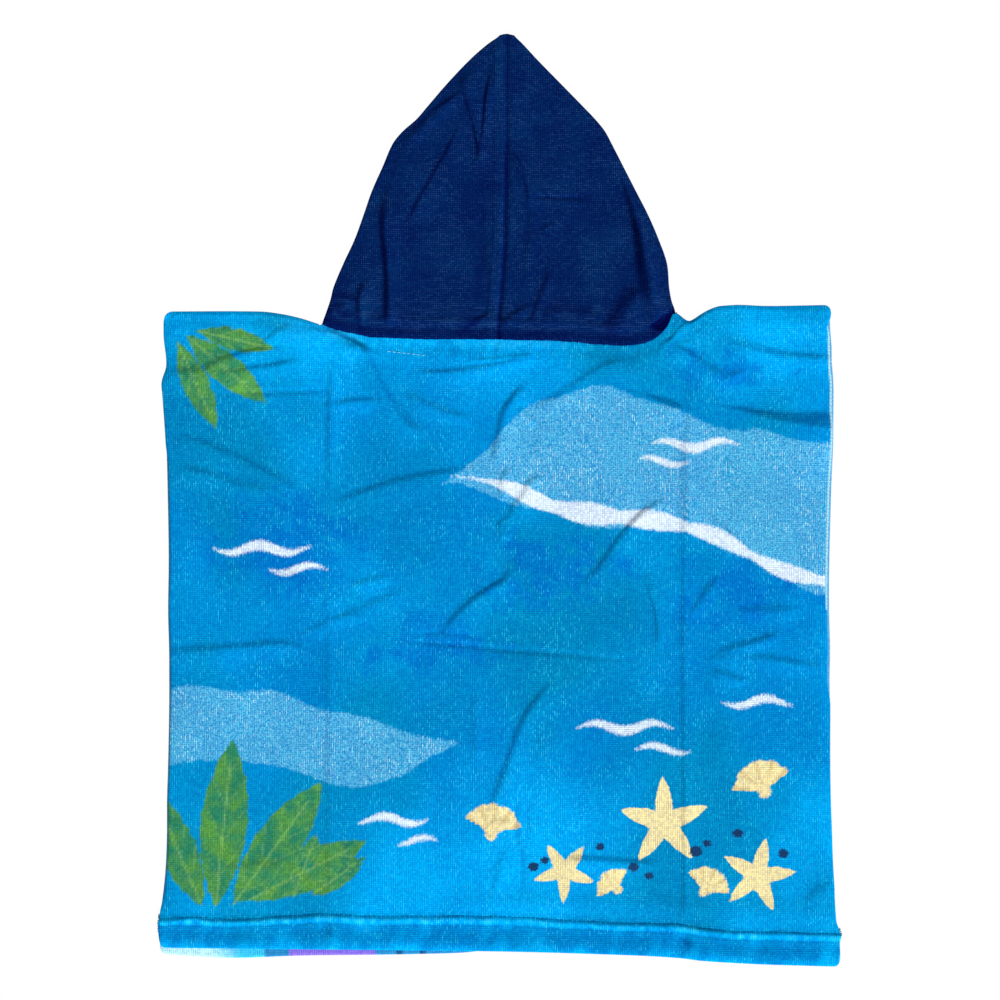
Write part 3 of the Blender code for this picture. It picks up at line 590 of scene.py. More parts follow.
# the front, of which the hem and the side edges show
neck = {
    "leftY": 158.0,             # where the hood's fold, the shoulder and the necklines meet
    "rightY": 168.0,
    "frontY": 72.0,             # the lowest point of the front neckline
    "power": 2.5,
    "gap": 0.25,
}
hood = {
    "mouthY": 168.0,
    "mouthRadius": 76.0,
    "mouthSideDeg": 95.0,       # how far round the mouth the neckline's end is, from its lowest point
    "napeY": 144.5,
    "tipY": 420.0,
    "tipShoulderY": 418.0,
    "loft": 1.0,
    "nearNeck": 0.3,            # the share of the height over which the neckline's bow fades out
    "seamLap": 0.3,             # how far the left half reaches over the seam
    "seamGroove": (-1.1, -0.5),             # its depth low down and near the tip, and its widths there
    "seamGrooveWidth": (2.5, 1.1),
    "allowance": (-12.5, -10, -2.6, -0.8),  # the raised strip left of the seam: from, full, to the end
    "allowanceLift": 0.65,
    "neckRidge": (16, 2.6, 0.75),           # height over the back's edge, reach, and how far it stands out
    "neckValley": (9, 3.5, -0.35),
    "neckRim": (3.4, 1.15),                 # reach and depth
    "thinnest": 0.45,                       # what the seams leave of the wall
    "edges": [                  # y, left, seam, right
        (144, -163, -1, 146), (158, -160.5, -1, 155), (168, -157, -0.5, 158), (180, -153, 1, 154.5),
        (192, -150, 2, 152.5), (213.5, -141, 3.5, 150.5), (235, -131, 4.5, 143), (257, -123, 5, 133.5),
        (278.5, -115.5, 5.5, 122.5), (300, -106, 5.5, 111.5), (321.5, -96.5, 6, 100.5),
        (332.5, -87.5, 6, 94.5), (343, -75.5, 6, 86), (354, -66, 6, 75.5), (375.5, -47.5, 6, 54.5),
        (397.5, -26.5, 6, 33), (411, -11, 6, 20.5), (418, -0.5, 6, 13), (420, 2, 6, 11)],
}
hoodLeftAt, hoodSeamAt, hoodRightAt = (curveOf(hood["edges"], column) for column in (1, 2, 3))
cornerLeft, cornerRight = float(hoodLeftAt(neck["leftY"])), float(hoodRightAt(neck["rightY"]))


def frontNeck(x):
    cornerX = np.where(x < 0, cornerLeft, cornerRight)
    cornerY = np.where(x < 0, neck["leftY"], neck["rightY"])
    out = np.clip(np.abs(x / cornerX), 0.0, 1.0)
    return cornerY - (cornerY - neck["frontY"]) * (1 - out ** neck["power"])


def buildFront():
    columns = chain(-body["half"], (-297.2, 1), (-295, 1), (-161, 39), (cornerLeft, 1), (cornerRight, 75),
                    (160, 1), (295, 39), (297.2, 1), (298, 1))
    hemRows = chain(0, *body["frontHemRows"])
    rows = 40
    x0 = columns[:, None]
    low = frontHemAt(x0) + cornerRound(x0)
    shoulder = topEdge(x0) - backUnder / 2 - cloth["wall"] / 2 - body["turnUnder"] - 2 * cloth["gap"]
    inNeck = (x0 > cornerLeft) & (x0 < cornerRight)
    high = np.where(inNeck, np.minimum(frontNeck(x0) - neck["gap"], shoulder), shoulder)
    above = mixed(low + hemRows[-1], high, np.linspace(0, 1, rows + 1)[1:])
    y = np.concatenate([low + hemRows, above], axis=1)
    x = acrossBody(np.broadcast_to(x0, y.shape), y)
    hemLift = hemShape(np.minimum(y - low, body["aboveHem"]), x)
    top = cloth["wall"] + np.minimum(hemLift, cloth["hemPly"]) - edgeDrop(columns)
    outer, inner = np.stack([x, y, top], axis=2), np.stack([x, y, 0 * y], axis=2)
    return clothPiece("frontCloth", outer, inner)


frontCloth = buildFront()
print("the front is laid:", len(frontCloth.data.polygons), "faces")


# the hood, in two halves, each folded round its own outer edge; its folds and creases are given as the back's
hoodFolds = {
    "left, slanting": (1.3, 3.4, 15, (-90, 238), (-82, 253), (-58, 296), (-36, 340), (-31, 350)),
    "near the tip, a": (2.7, (4.2, 2.4), 11, (-13, 288), (-20, 309.5), (-22, 327), (-27.5, 348),
        (-32.5, 365), (-36, 379), (-41, 396)),
    "near the tip, b": (2.4, (4.2, 3.2), 9, (-25, 290), (-20, 309.5), (-17, 327), (-15, 344.5),
        (-13.5, 361.5), (-10, 379), (-6, 398)),
    "left, upright": (4.6, 6, 14, (-101, 125), (-102.5, 163), (-102.5, 194), (-104, 222), (-106, 246.5),
        (-104, 268), (-100, 288)),
    "left edge, rolled": (1.7, 5, 10, (-98, 315), (-83, 330), (-73, 339), (-62, 350), (-41, 364),
        (-28, 376)),
    "left, low strip": (3.2, 4.5, 10, (-116, 138), (-121, 150), (-127, 160), (-128, 175), (-127, 184),
        (-124, 193), (-118, 203)),
    "beside the seam": (2.1, 2.8, 9, (25, 258), (25.5, 272), (23, 283), (19, 291), (13, 302), (6, 314)),
    "beside the seam, below": (1.0, 3, 8, (23, 202), (26, 240), (26, 268)),
    "right, level": (-1.4, 2.3, 2.3, (25, 272), (81, 270)),
    "right, curved": (1.0, 3, 8, (24, 190), (24, 225), (32, 238), (59, 258)),
    "right, low slant": (1.6, 4, 9, (26, 155), (32, 173), (45, 212)),
    "right, upright": (8.4, (13, 3.4), 14, (141, 148), (135, 176), (131, 195), (128, 206), (126, 217),
        (123.5, 234), (120, 250), (116, 266), (111, 284), (104, 306)),
    "right, low": (3.4, 12, 14, (88, 138), (97, 153), (106, 168), (117, 184), (129, 200)),
    "right, low level": (1.6, 7, 12, (22, 167), (42, 171), (60, 172), (78, 170), (98, 168)),
    "low tick, a": (1.8, 4, 8, (-46, 140), (-38, 147), (-24, 159.5), (-13.5, 166.5), (-4, 172)),
    "low tick, b": (1.5, 3.5, 8, (-8, 150), (0.5, 157), (11, 166.5), (21.5, 173.5), (30, 178)),
    "left of the seam": (1.5, 5, 10, (-9, 174), (-14, 240)),
    "left corner, a": (1.6, 5, 8, (-160, 180), (-150, 184.5), (-141, 184.5), (-131, 181), (-124, 174)),
    "left corner, b": (1.5, 4, 7, (-164, 163), (-155, 168.5), (-149, 173), (-142.5, 176), (-133, 178)),
}
hoodCreases = [
    (0.28, 1.7, (-38, 334), (-39.5, 330.5), (-48.5, 313), (-59, 295.5), (-69.5, 278), (-81.5, 255.5),
     (-85, 249)),
    (0.2, 1.3, (-34, 371), (-31.5, 362), (-27.5, 348), (-22, 327), (-20, 307)),
    (0.25, 1.5, (-10, 379), (-13.5, 361.5), (-15, 344.5), (-17, 327), (-20.5, 307)),
    (0.34, 2.9, (-103, 275), (-106, 246.5), (-104, 222), (-102.5, 194), (-102.5, 163), (-102, 152)),
    (0.2, 2.0, (-41.5, 363.5), (-62.5, 349.5), (-73, 339), (-83, 330.5)),
    (0.28, 2.0, (-123, 193), (-127, 184), (-128, 175), (-127, 166), (-126.5, 156), (-119, 149)),
    (0.22, 3.0, (-155, 183), (-149, 184.5), (-141, 184), (-133, 181), (-126, 174)),
    (0.24, 2.2, (-157, 166), (-154, 169), (-149, 173), (-142, 176.5)),
    (0.22, 3.5, (-146, 167), (-134, 166), (-129, 166)),
    (0.2, 1.6, (9, 316.5), (18, 302.5), (23, 285), (25.5, 266)),
    (0.3, 4.2, (119, 258), (122, 246), (124.5, 222), (127, 201), (131, 180), (133, 172)),
    (0.2, 1.6, (107, 294), (114, 274), (119.5, 254), (122.5, 236)),
    (0.19, 7.5, (94, 149), (98, 154), (106, 168), (117, 185), (122, 192)),
    (0.24, 3.0, (-40, 145), (-38, 147), (-24, 159.5), (-12, 167.5)),
    (0.16, 3.0, (-1, 155), (11, 166.5), (23, 174.5)),
    (0.2, 2.4, (27, 156), (33.5, 177), (39, 190.5), (49, 208)),
    (0.14, 8.0, (34, 171), (60, 173), (86, 171)),
    (-0.2, 1.7, (24.5, 188), (24.5, 222), (30, 236), (42, 243), (60, 249)),
    (-0.2, 2.0, (-150, 175), (-147, 166), (-140, 162.5), (-130, 164)),
    (-0.1, 2.2, (-121, 150), (-122, 168), (-121, 186), (-117, 197)),
    (0.14, 3.0, (-13.5, 274.5), (-17, 222), (-20.5, 175)),
    (0.15, 1.4, (25, 272.3), (81, 271.8)),
]
flapLine = ((132.5, 155.3), (155.3, 171.5))     # below it the hood's right corner is turned down


def belowFlap(x, y):
    (ax, ay), (bx, by) = flapLine
    length = math.hypot(bx - ax, by - ay)
    return ((x - ax) * (by - ay) - (y - ay) * (bx - ax)) / length


def onFlap(x, y):
    return softStep(-0.6, 0.5, belowFlap(x, y)) * softStep(-1.0, 3.0, x - 133 - 2.5 * (156 - y))


def hoodRoom(x, y):
    # the room between the hood's two layers
    above = y - topEdge(x)
    loft = mixed(backUnder + cloth["gap"], hood["loft"], softStep(9, 28, above))
    inside = softStep(3, 18, np.minimum(x - hoodLeftAt(y), hoodRightAt(y) - x))
    free = softStep(5, 24, above)
    sink = 0.6 * hump(x - hoodSeamAt(y), 3.0)
    swell = (1.1 + 0.35 * np.sin(x / 31 + y / 60) + 0.38 * unevenness(x, y, 62, 7)
             + 0.08 * unevenness(x, y, 22, 8))
    return loft + free * (inside * np.maximum(foldLift(hoodFolds, x, y) + swell, 0.0) - sink)


def hoodSurface(x, y):
    # the seam up the middle with its allowances to the left, and the ridge of the neck seam's allowance
    above = y - topEdge(x)
    off = x - hoodSeamAt(y)
    narrower = softStep(300, 345, y)
    groove = mixed(*hood["seamGroove"], narrower)
    groove = groove * hump(off - hood["seamLap"], mixed(*hood["seamGrooveWidth"], narrower))
    starts, full, ends, ended = hood["allowance"]
    strip = hood["allowanceLift"] * softStep(starts, full, off) * fall(ends, ended, off)
    place, reach, lift = hood["neckRidge"]
    ridge = lift * hump(above - place, reach) * softStep(-122, -100, x) * fall(118, 136, x)
    place, reach, lift = hood["neckValley"]
    valley = lift * hump(above - place, reach)
    reach, depth = hood["neckRim"]
    rim = -depth * roundedDown(above, reach)
    fuzz = 0.16 * unevenness(x, 0 * x, 3.1, 9) * fall(0, 7, above)
    flap = -1.0 * onFlap(x, y)
    return np.maximum(groove + strip + ridge + valley + rim + fuzz + flap, hood["thinnest"] - cloth["wall"])


def buildHoodHalf(name, side):
    grid = {"neckRows": 16, "outlineRows": 184, "mouthRows": 62, "fold": 8, "inward": 16, "coarse": 4}
    neckRows, mouthRows, outlineRows = grid["neckRows"], grid["mouthRows"], grid["outlineRows"]
    step = grid["coarse"]
    edgeAt = hoodLeftAt if side < 0 else hoodRightAt
    cornerX, cornerY = (cornerLeft, neck["leftY"]) if side < 0 else (cornerRight, neck["rightY"])
    parts = chain(0, (0.1, 20), (1, 84))      # from the seam out to the fold, closer near the seam
    rise = chain(0, (0.0013, 1), (0.0034, 1), (0.0066, 1), (0.0112, 1), (1, outlineRows - 4))
    t = np.concatenate([np.zeros(neckRows), rise])[:, None]

    def foldPoint(t):
        y = mixed(cornerY, hood["tipShoulderY"], t)
        return edgeAt(y), y

    (x1, y1), (x2, y2) = foldPoint(np.maximum(t - 0.02, 0)), foldPoint(np.minimum(t + 0.02, 1))
    length = np.hypot(x2 - x1, y2 - y1)
    outX, outY = (y2 - y1) / length * side, -(x2 - x1) / length * side
    foldX, foldY = foldPoint(t)
    radius = (hoodRoom(foldX, foldY) + 2 * cloth["wall"]) / 2
    pinch = np.sqrt(fall(0.965, 1.0, t))      # the fold closes at the tip
    turnX, turnY = foldX - radius * pinch * outX, foldY - radius * pinch * outY
    seamY = mixed(hood["napeY"], hood["tipY"], t)
    seamX = hoodSeamAt(seamY) + (hood["seamLap"] if side < 0 else 0.0)

    x, y = mixed(seamX, turnX, parts), mixed(seamY, turnY, parts)
    bow = topEdge(x) - mixed(hood["napeY"], cornerY, parts)
    offFold = 1 - parts ** 80
    y = y + bow * fall(0, hood["nearNeck"], t) * offFold
    y = y + 0.35 * unevenness(x, 0 * x, 4.6, 17) * fall(0, 0.012, t) * offFold
    under = cloth["wall"] + hoodRoom(x, y)
    under[:, -1:] = 2 * radius - cloth["wall"]
    surface = under + cloth["wall"] + hoodSurface(x, y) * fall(0.985, 1.0, parts)
    outerParts = [np.stack([x, y, surface], axis=2)]
    innerParts = [np.stack([x, y, lowestAround(under, step)], axis=2)]
    for k in range(1, grid["fold"]):
        angle = math.pi * k / grid["fold"]
        for sheet, reach in ((outerParts, radius), (innerParts, radius - cloth["wall"])):
            out, up = reach * pinch * math.sin(angle), reach * math.cos(angle)
            sheet.append(np.stack([turnX + out * outX, turnY + out * outY, radius + up], axis=2))

    # the under layer, from the fold or the front's neckline in to the face opening, or above it to the seam;
    # where the two halves would touch, each stands a hair off the middle
    r = np.arange(neckRows + outlineRows + 1)[:, None]
    atNeck = r < neckRows
    startX = np.where(atNeck, np.where(r > 0, cornerX * r / neckRows, side * 0.15), turnX)
    startY = np.where(atNeck, frontNeck(startX) + neck["gap"], turnY)
    sideDeg = hood["mouthSideDeg"]
    pastNeck = np.clip((r - neckRows) / mouthRows, 0, 1)
    angle = np.radians(np.where(atNeck, sideDeg * r / neckRows, mixed(sideDeg, 180.0, pastNeck)))
    upSeam = np.clip((r - neckRows - mouthRows) / (outlineRows - mouthRows), 0, 1)
    seamEndY = mixed(hood["mouthY"] + hood["mouthRadius"], hood["tipY"], upSeam)
    seamEndX = hoodSeamAt(seamEndY) * softStep(0, hood["nearNeck"], upSeam) + side * 0.02
    onMouth = r <= neckRows + mouthRows
    mouthX = side * np.maximum(hood["mouthRadius"] * np.sin(angle), 0.02)
    endX = np.where(onMouth, mouthX, seamEndX)
    endY = np.where(onMouth, hood["mouthY"] - hood["mouthRadius"] * np.cos(angle), seamEndY)
    inward = np.linspace(0, 1, grid["inward"] + 1)
    ux, uy = mixed(startX, endX, inward), mixed(startY, endY, inward)
    outerParts.append(np.stack([ux, uy, 0 * ux], axis=2))
    innerParts.append(np.stack([ux, uy, 0 * ux + cloth["wall"]], axis=2))

    outer, inner = np.concatenate(outerParts, axis=1), np.concatenate(innerParts, axis=1)
    present = np.ones((outer.shape[0] // step, outer.shape[1] // step), bool)
    present[:neckRows // step, :(len(parts) - 1 + grid["fold"]) // step] = False
    return clothPiece(name, outer, inner, step, present)


hoodLeftCloth = buildHoodHalf("hoodLeftCloth", -1)
hoodRightCloth = buildHoodHalf("hoodRightCloth", 1)
print("the hood is laid:", len(hoodLeftCloth.data.polygons) + len(hoodRightCloth.data.polygons), "faces")


# the sewing threads; each kind has the length and radius of a stitch
threads = {
    "hem": (3.0, 0.22),
    "hemPitch": 4.2,
    "hemTo": 302.0,
    "hemHeight": 0.05,
    "overlock": (2.5, 0.6),
    "overlockPitch": 1.25,
    "overlockFrom": 156.0,
    "overlockTo": -98.0,
    "overlockInset": 0.9,
    "overlockSink": (0.15, 0.6, 0.4),       # all along, and more at its upper and its lower end
    "topstitch": (3.4, 0.34),
    "topstitchCount": 8,
    "topstitchFrom": (-102, 134),
    "topstitchTo": (-67, 130),
    "topstitchHeight": 0.08,
    "ends": (3.2, 0.5),
    "endsLeft": (-373.5, -389.0, 9),        # from and to along the edge, and how many
    "endsRight": (-386.5, -395.0, 7),
}


def backTop(x, y, above=body["aboveHem"]):
    x, y = np.atleast_1d(np.asarray(x, float)), np.atleast_1d(np.asarray(y, float))
    return backUnder + backLift(x, y) + cloth["wall"] + hemShape(np.full(x.shape, float(above)), x)


def stitchRow(name, size, starts, turns):
    # one stitch is modelled, and its copies are joined into one mesh
    length, radius = size
    bpy.ops.object.select_all(action="DESELECT")
    bpy.ops.mesh.primitive_uv_sphere_add(segments=8, ring_count=6, radius=1.0, rotation=(0, math.pi / 2, 0))
    model = bpy.context.object
    bpy.ops.object.transform_apply(rotation=True)
    shape = np.array([vertex.co for vertex in model.data.vertices]) * (length / 2, radius, radius)
    faces = [list(face.vertices) for face in model.data.polygons]
    bpy.data.objects.remove(model, do_unlink=True)
    sx, sy, sz = shape.T
    points, sides = [], []
    for k, (start, turn) in enumerate(zip(starts, turns)):
        c, s = math.cos(turn), math.sin(turn)
        points.append(np.stack([sx * c - sy * s, sx * s + sy * c, sz], axis=1) + start)
        sides += [[v + k * len(shape) for v in face] for face in faces]
    return newPiece(name, np.vstack(points), sides)


def buildThreads():
    t = threads
    hemX = np.arange(-t["hemTo"], t["hemTo"] + 1, t["hemPitch"])
    hemY = hemStitchesAt(hemX)
    hemZ = backTop(hemX, hemY, body["hemBand"]) + t["hemHeight"]
    hemTurn = np.arctan2(hemStitchesAt(hemX + 1) - hemStitchesAt(hemX - 1), 2.0)
    hemRow = stitchRow("hemStitches", t["hem"], zip(hemX, hemY, hemZ), hemTurn)

    edgeY = np.arange(t["overlockTo"], t["overlockFrom"], t["overlockPitch"])
    edgeX = rightAt(edgeY) - insets(edgeY)[1] - t["overlockInset"]
    sink, sinkAbove, sinkBelow = t["overlockSink"]
    edgeZ = backTop(edgeX, edgeY) - sink - sinkAbove * softStep(132, 157, edgeY)
    edgeZ = edgeZ - sinkBelow * fall(-98, -60, edgeY)
    slant = 0.15 + 0.12 * np.sin(edgeY * 1.7)
    overlock = stitchRow("armholeOverlock", t["overlock"], zip(edgeX, edgeY, edgeZ), slant)

    part = (np.arange(t["topstitchCount"]) + 0.5) / t["topstitchCount"]
    (x1, y1), (x2, y2) = t["topstitchFrom"], t["topstitchTo"]
    topX, topY = mixed(x1, x2, part), mixed(y1, y2, part)
    topZ = backTop(topX, topY) + t["topstitchHeight"]
    topTurn = np.full(len(part), math.atan2(y2 - y1, x2 - x1))
    topstitch = stitchRow("neckTopstitch", t["topstitch"], zip(topX, topY, topZ), topTurn)

    ends, turns = [], []
    for side, (first, last, count) in ((-1, t["endsLeft"]), (1, t["endsRight"])):
        endY = np.linspace(first, last, count)
        wobble = np.sin(2.4 * np.arange(count) + side)
        endX = (leftAt(endY) if side < 0 else rightAt(endY)) + side * (0.1 + 0.5 * wobble)
        endZ = backUnder + 0.9 + 0.6 * np.cos(1.7 * np.arange(count))
        ends += list(zip(endX, endY, endZ))
        turns += list(side * (0.9 + 0.7 * wobble))
    return hemRow, overlock, topstitch, stitchRow("hemEndThreads", t["ends"], ends, turns)


hemStitches, armholeOverlock, neckTopstitch, hemEndThreads = buildThreads()
print("the threads are sewn")


# the printed seaside design, as distances in from each motif's edge

def leafInside(x, y, startX, startY, deg, length, width):
    c, s = math.cos(math.radians(deg)), math.sin(math.radians(deg))
    along = (x - startX) * c + (y - startY) * s - length / 2
    across = (y - startY) * c - (x - startX) * s
    radius = (length ** 2 / 4 + width ** 2 / 4) / width
    reach = np.maximum(np.hypot(along, across - radius + width / 2),
                       np.hypot(along, across + radius - width / 2))
    midrib = (1.3 - np.abs(across)) * (along < 0.36 * length)
    side = np.abs(along * 0.55 - np.abs(across) + 500) % (0.115 * length)
    return radius - reach, np.maximum(np.clip(midrib, 0, 1), 0.5 * (side < 1.3))


def starInside(x, y, cx, cy, radius, turn):
    sector = math.tau / 5
    angle = np.abs((np.arctan2(y - cy, x - cx) - turn + sector / 2) % sector - sector / 2)
    return radius * (0.34 + 0.66 * (1 - angle / (sector / 2)) ** 1.7) - np.hypot(x - cx, y - cy)


def shellInside(x, y, cx, cy, radius, turn):
    angle = (np.arctan2(y - cy, x - cx) - turn + math.pi) % math.tau - math.pi
    away = np.hypot(x - cx, y - cy)
    fan = np.minimum(radius * (1 + 0.05 * np.abs(np.cos(5.5 * angle))) - away,
                     np.where(np.abs(angle) < 1.25, away * np.sin(1.25 - np.abs(angle)), -away))
    return np.maximum(fan, radius * 0.22 - away), np.cos(11 * angle)


seaside = {
    "upperBand": {"middle": 11, "swing": 30, "wave": 84, "half": 63, "from": -60, "widestAt": 110},
    "lowerBand": {"middle": -214, "swing": 14, "wave": 52, "half": 36, "widestTo": -150, "to": -30},
    "leaves": [                 # start x, y, direction, length, width
        (-268, -366, 113, 116, 34), (-256, -366, 84, 152, 42), (-240, -364, 54, 136, 40),
        (-226, -360, 27, 118, 34), (-186, -358, 70, 62, 20), (-170, -356, 36, 60, 19),
        (-290, 142, -66, 84, 24), (-282, 148, -40, 94, 27), (-272, 152, -13, 70, 20)],
    "stars": [(148, -290, 42, 0.35), (58, -334, 29, 0.9), (232, -338, 35, 0.1)],
    "shells": [(238, -262, 27, 1.9), (184, -352, 21, 1.1), (-8, -300, 26, 1.4), (106, -350, 18, 2.3)],
    "deeps": [                  # x, y, reach, how many times as wide
        (-190, -40, 34, 1.5), (44, -66, 24, 1.9), (214, -86, 20, 1.7), (-60, -128, 14, 2.2),
        (205, 116, 12, 1.8)],
    "pebbles": [(120, -330, 5), (134, -338, 4), (176, -316, 6), (186, -309, 4), (255, -318, 5), (30, -330, 5),
                (40, -324, 4), (214, -300, 5), (90, -312, 4)],
    "ripples": [                # x, y, half length, half height
        (-214, -44, 46, 4.6), (-182, -62, 28, 3.4), (-96, -288, 34, 3.8), (-74, -307, 20, 2.8),
        (176, 50, 42, 4.4), (148, 35, 24, 3.2), (112, -204, 46, 4.4), (146, -224, 26, 3.2),
        (232, -182, 34, 3.8)],
}


def printDistances(x, y):
    wander = 3.2 * unevenness(x, y, 62, 21) + 0.8 * unevenness(x, y, 12, 22)
    upper, lower = seaside["upperBand"], seaside["lowerBand"]
    middle = upper["middle"] + upper["swing"] * np.sin(x / upper["wave"] + 0.75)
    widening = softStep(upper["from"], upper["widestAt"], x) ** 0.6
    half = upper["half"] * widening * (1 + 0.1 * np.sin(x / 37)) - 3
    band = half - np.abs(y - middle) + wander - 14 * fall(-64, -50, x)
    lowHalf = lower["half"] * fall(lower["widestTo"], lower["to"], x) ** 0.6 - 3
    offLow = y - lower["middle"] - lower["swing"] * np.sin(x / lower["wave"] + 0.4)
    lowBand = lowHalf - np.abs(offLow) + wander - 14 * softStep(-38, -26, x)
    pale = np.maximum(band, lowBand)
    crestHeight = 4.5 + 4.0 * np.abs(np.sin(x / 19 + 0.6)) + 1.5 * np.sin(x / 47)
    crest = crestHeight * softStep(-44, 30, x) - np.abs(y - middle + half - 8 - 0.4 * wander)
    foam = np.where(x > -46, crest, -40.0)
    for cx, cy, halfLength, halfHeight in seaside["ripples"]:
        lens = halfHeight * (1 - np.clip(np.abs(x - cx) / halfLength, 0, 1) ** 1.7)
        lens = lens - 30 * (np.abs(x - cx) > halfLength)
        foam = np.maximum(foam, lens - np.abs(y - cy - 3.4 * np.sin((x - cx) / 8.5 + 0.1 * cy)))
    leaves = [leafInside(x, y, *leaf) for leaf in seaside["leaves"]]
    green = np.max([inside for inside, _ in leaves], axis=0) + 0.7 * unevenness(x, y, 14, 27)
    veins = np.max([np.where(inside > 0, vein, 0.0) for inside, vein in leaves], axis=0)
    shells = [shellInside(x, y, *shell) for shell in seaside["shells"]]
    stars = [starInside(x, y, *star) for star in seaside["stars"]]
    sand = np.max([inside for inside, _ in shells] + stars, axis=0) + 0.5 * unevenness(x, y, 8, 24)
    ribs = np.max([np.where(inside > 0, rib, 0.0) for inside, rib in shells], axis=0)
    pebble = [radius - np.hypot(x - cx, (y - cy) * 1.25) for cx, cy, radius in seaside["pebbles"]]
    deep = [reach - np.hypot((x - cx) / wide, y - cy) for cx, cy, reach, wide in seaside["deeps"]]
    deep = np.max(deep, axis=0) + 11 * unevenness(x, y, 38, 25) + 6 * unevenness(x, y, 12, 26)
    teal = 60 * unevenness(x, y, 210, 31) + 14 * unevenness(x, y, 60, 32)
    light = 0.85 * softStep(60, 158, y) + 0.75 * fall(-380, -200, y)
    light = light + 0.1 + 0.2 * unevenness(x, y, 190, 33) + 0.05 * unevenness(x, y, 50, 34)
    return {"pale": pale, "foam": foam, "green": green, "veins": veins, "sand": sand, "ribs": ribs,
            "pebble": np.max(pebble, axis=0), "deep": deep, "teal": teal, "light": light}


# painted highlights on the hem's roll, on its lower lip and on the band just under the hood, painted shade
# over the hem band, and less teal print in the hem
paintedLightAndTeal = {                  # what each place adds to the azure's light
    "roll": 0.85,
    "lip": 0.4,
    "hem": -0.62,
    "underHood": 0.3,
    "hemTeal": -50,
}


def printAndPaintedLightOfBack():
    x, y, z = placesOf(backCloth)
    values = printDistances(x, y)
    hemAbove = (y - backHemAt(x)) / (hemStitchesAt(x) - backHemAt(x)) * body["hemBand"]
    onRoll = hump(hemAbove - 24.9, 2.8) * (1 + 0.5 * unevenness(x, 0 * x, 9, 19))
    onHem, onLip = fall(24, 28, hemAbove), fall(2, 9, hemAbove)
    underHood = hump(topEdge(x) - y - 4, 5) * fall(150, 165, np.abs(x))
    # the light value gets painted highlights on the hem's roll, its lower lip and the band under the hood,
    # and painted shade over the hem band
    values["light"] += paintedLightAndTeal["roll"] * onRoll + paintedLightAndTeal["lip"] * onLip
    values["light"] += onHem * (paintedLightAndTeal["hem"] - 0.3 * unevenness(x, y, 24, 35))
    values["light"] += underHood * (paintedLightAndTeal["underHood"] + 0.25 * unevenness(x, y, 16, 36))
    values["teal"] += paintedLightAndTeal["hemTeal"] * onHem
    cornerShade = 1 - 0.25 * fall(2, 14, np.hypot(x - 166, y - 166))
    values["shade"] = cornerShade * creaseShade(backCreases, x, y) * facetShade(x, y)
    values["rowed"] = softStep(6, 8, hemAbove) * fall(20, 23, hemAbove) * (z > 2.5)
    return values


frontStrip = {                  # patches on the edge under the back's hem, from their left to their right
    "top": -392,
    "lilac": (-190, -112),
    "aqua": (-400, -212),
    "foam": (-320, -248),
    "dots": {"middle": -80, "half": 24, "from": -101, "pitch": 21, "radius": 2.4},
}


def printFront():
    x, y, _ = placesOf(frontCloth)
    values = {}
    for name in ("lilac", "aqua", "foam"):
        left, right = frontStrip[name]
        values[name] = np.minimum(x - left, right - x)
    dots = frontStrip["dots"]
    offDot = np.abs((x - dots["from"]) % dots["pitch"] - dots["pitch"] / 2)
    values["pebble"] = dots["radius"] - offDot - 60 * (np.abs(x - dots["middle"]) > dots["half"])
    return {name: np.where(y < frontStrip["top"], value, -9.0) for name, value in values.items()}


hoodShades = {                  # how much light is lost in each place; less than nothing is light gained
    "neckline": 0.24,
    "flap": 0.62,
    "seam": 0.4,
    "allowance": -0.2,
}


def shadeHood(piece):
    x, y, _ = placesOf(piece)
    aboveNeck, offSeam = y - topEdge(x), x - hoodSeamAt(y)
    narrower = softStep(300, 345, y)
    inSeam = hump(offSeam, mixed(1.9, 1.0, narrower), 4) * (1 - 0.6 * narrower)
    onStrip = softStep(-12, -9, offSeam) * fall(-4, -2, offSeam) * (0.4 + 0.6 * softStep(330, 375, y))
    shade = 1 + 0 * x
    for name, share in (("neckline", fall(6, 12, aboveNeck)), ("flap", onFlap(x, y)), ("seam", inSeam),
                        ("allowance", onStrip)):
        shade = shade * (1 - hoodShades[name] * share)
    shade = shade * (1 + 0.07 * unevenness(x, y, 58, 41) + 0.04 * unevenness(x, y, 19, 42))
    rowed = softStep(3, 9, aboveNeck) * fall(22, 46, aboveNeck) + 0.3 * unevenness(x, y, 30, 43)
    return {"shade": shade * creaseShade(hoodCreases, x, y), "rowed": np.clip(rowed, 0.0, 1.0)}


for piece, values in ((backCloth, printAndPaintedLightOfBack()), (frontCloth, printFront()),
                      (hoodLeftCloth, shadeHood(hoodLeftCloth)), (hoodRightCloth, shadeHood(hoodRightCloth))):
    for valueName, value in values.items():
        paint(piece, valueName, value)
print("the print is laid out")


def linear(*ink):
    parts = [channel / 255 for channel in ink]
    return tuple(c / 12.92 if c <= 0.04045 else ((c + 0.055) / 1.055) ** 2.4 for c in parts) + (1.0,)


inks = {                        # red, green and blue, each up to 255
    "azure": (0, 131, 205), "azureLight": (0, 168, 244), "deep": (0, 106, 198), "teal": (0, 130, 184),
    "pale": (28, 148, 208), "paleLight": (112, 200, 240), "foam": (214, 232, 248), "speck": (50, 200, 250),
    "green": (44, 130, 96), "greenLight": (84, 150, 70), "vein": (150, 196, 110),
    "sand": (236, 222, 168), "sandDark": (196, 160, 96), "pebble": (26, 60, 104),
    "front": (44, 138, 196), "frontFoam": (186, 238, 246), "aqua": (60, 196, 240), "lilac": (134, 112, 224),
    "navy": (2, 32, 88), "navySpeck": (72, 120, 182),
    "hemThread": (4, 116, 176), "edgeThread": (24, 104, 122),
    "overlockThread": (178, 232, 248), "topstitchThread": (126, 214, 244),
}
inks = {name: linear(*ink) for name, ink in inks.items()}


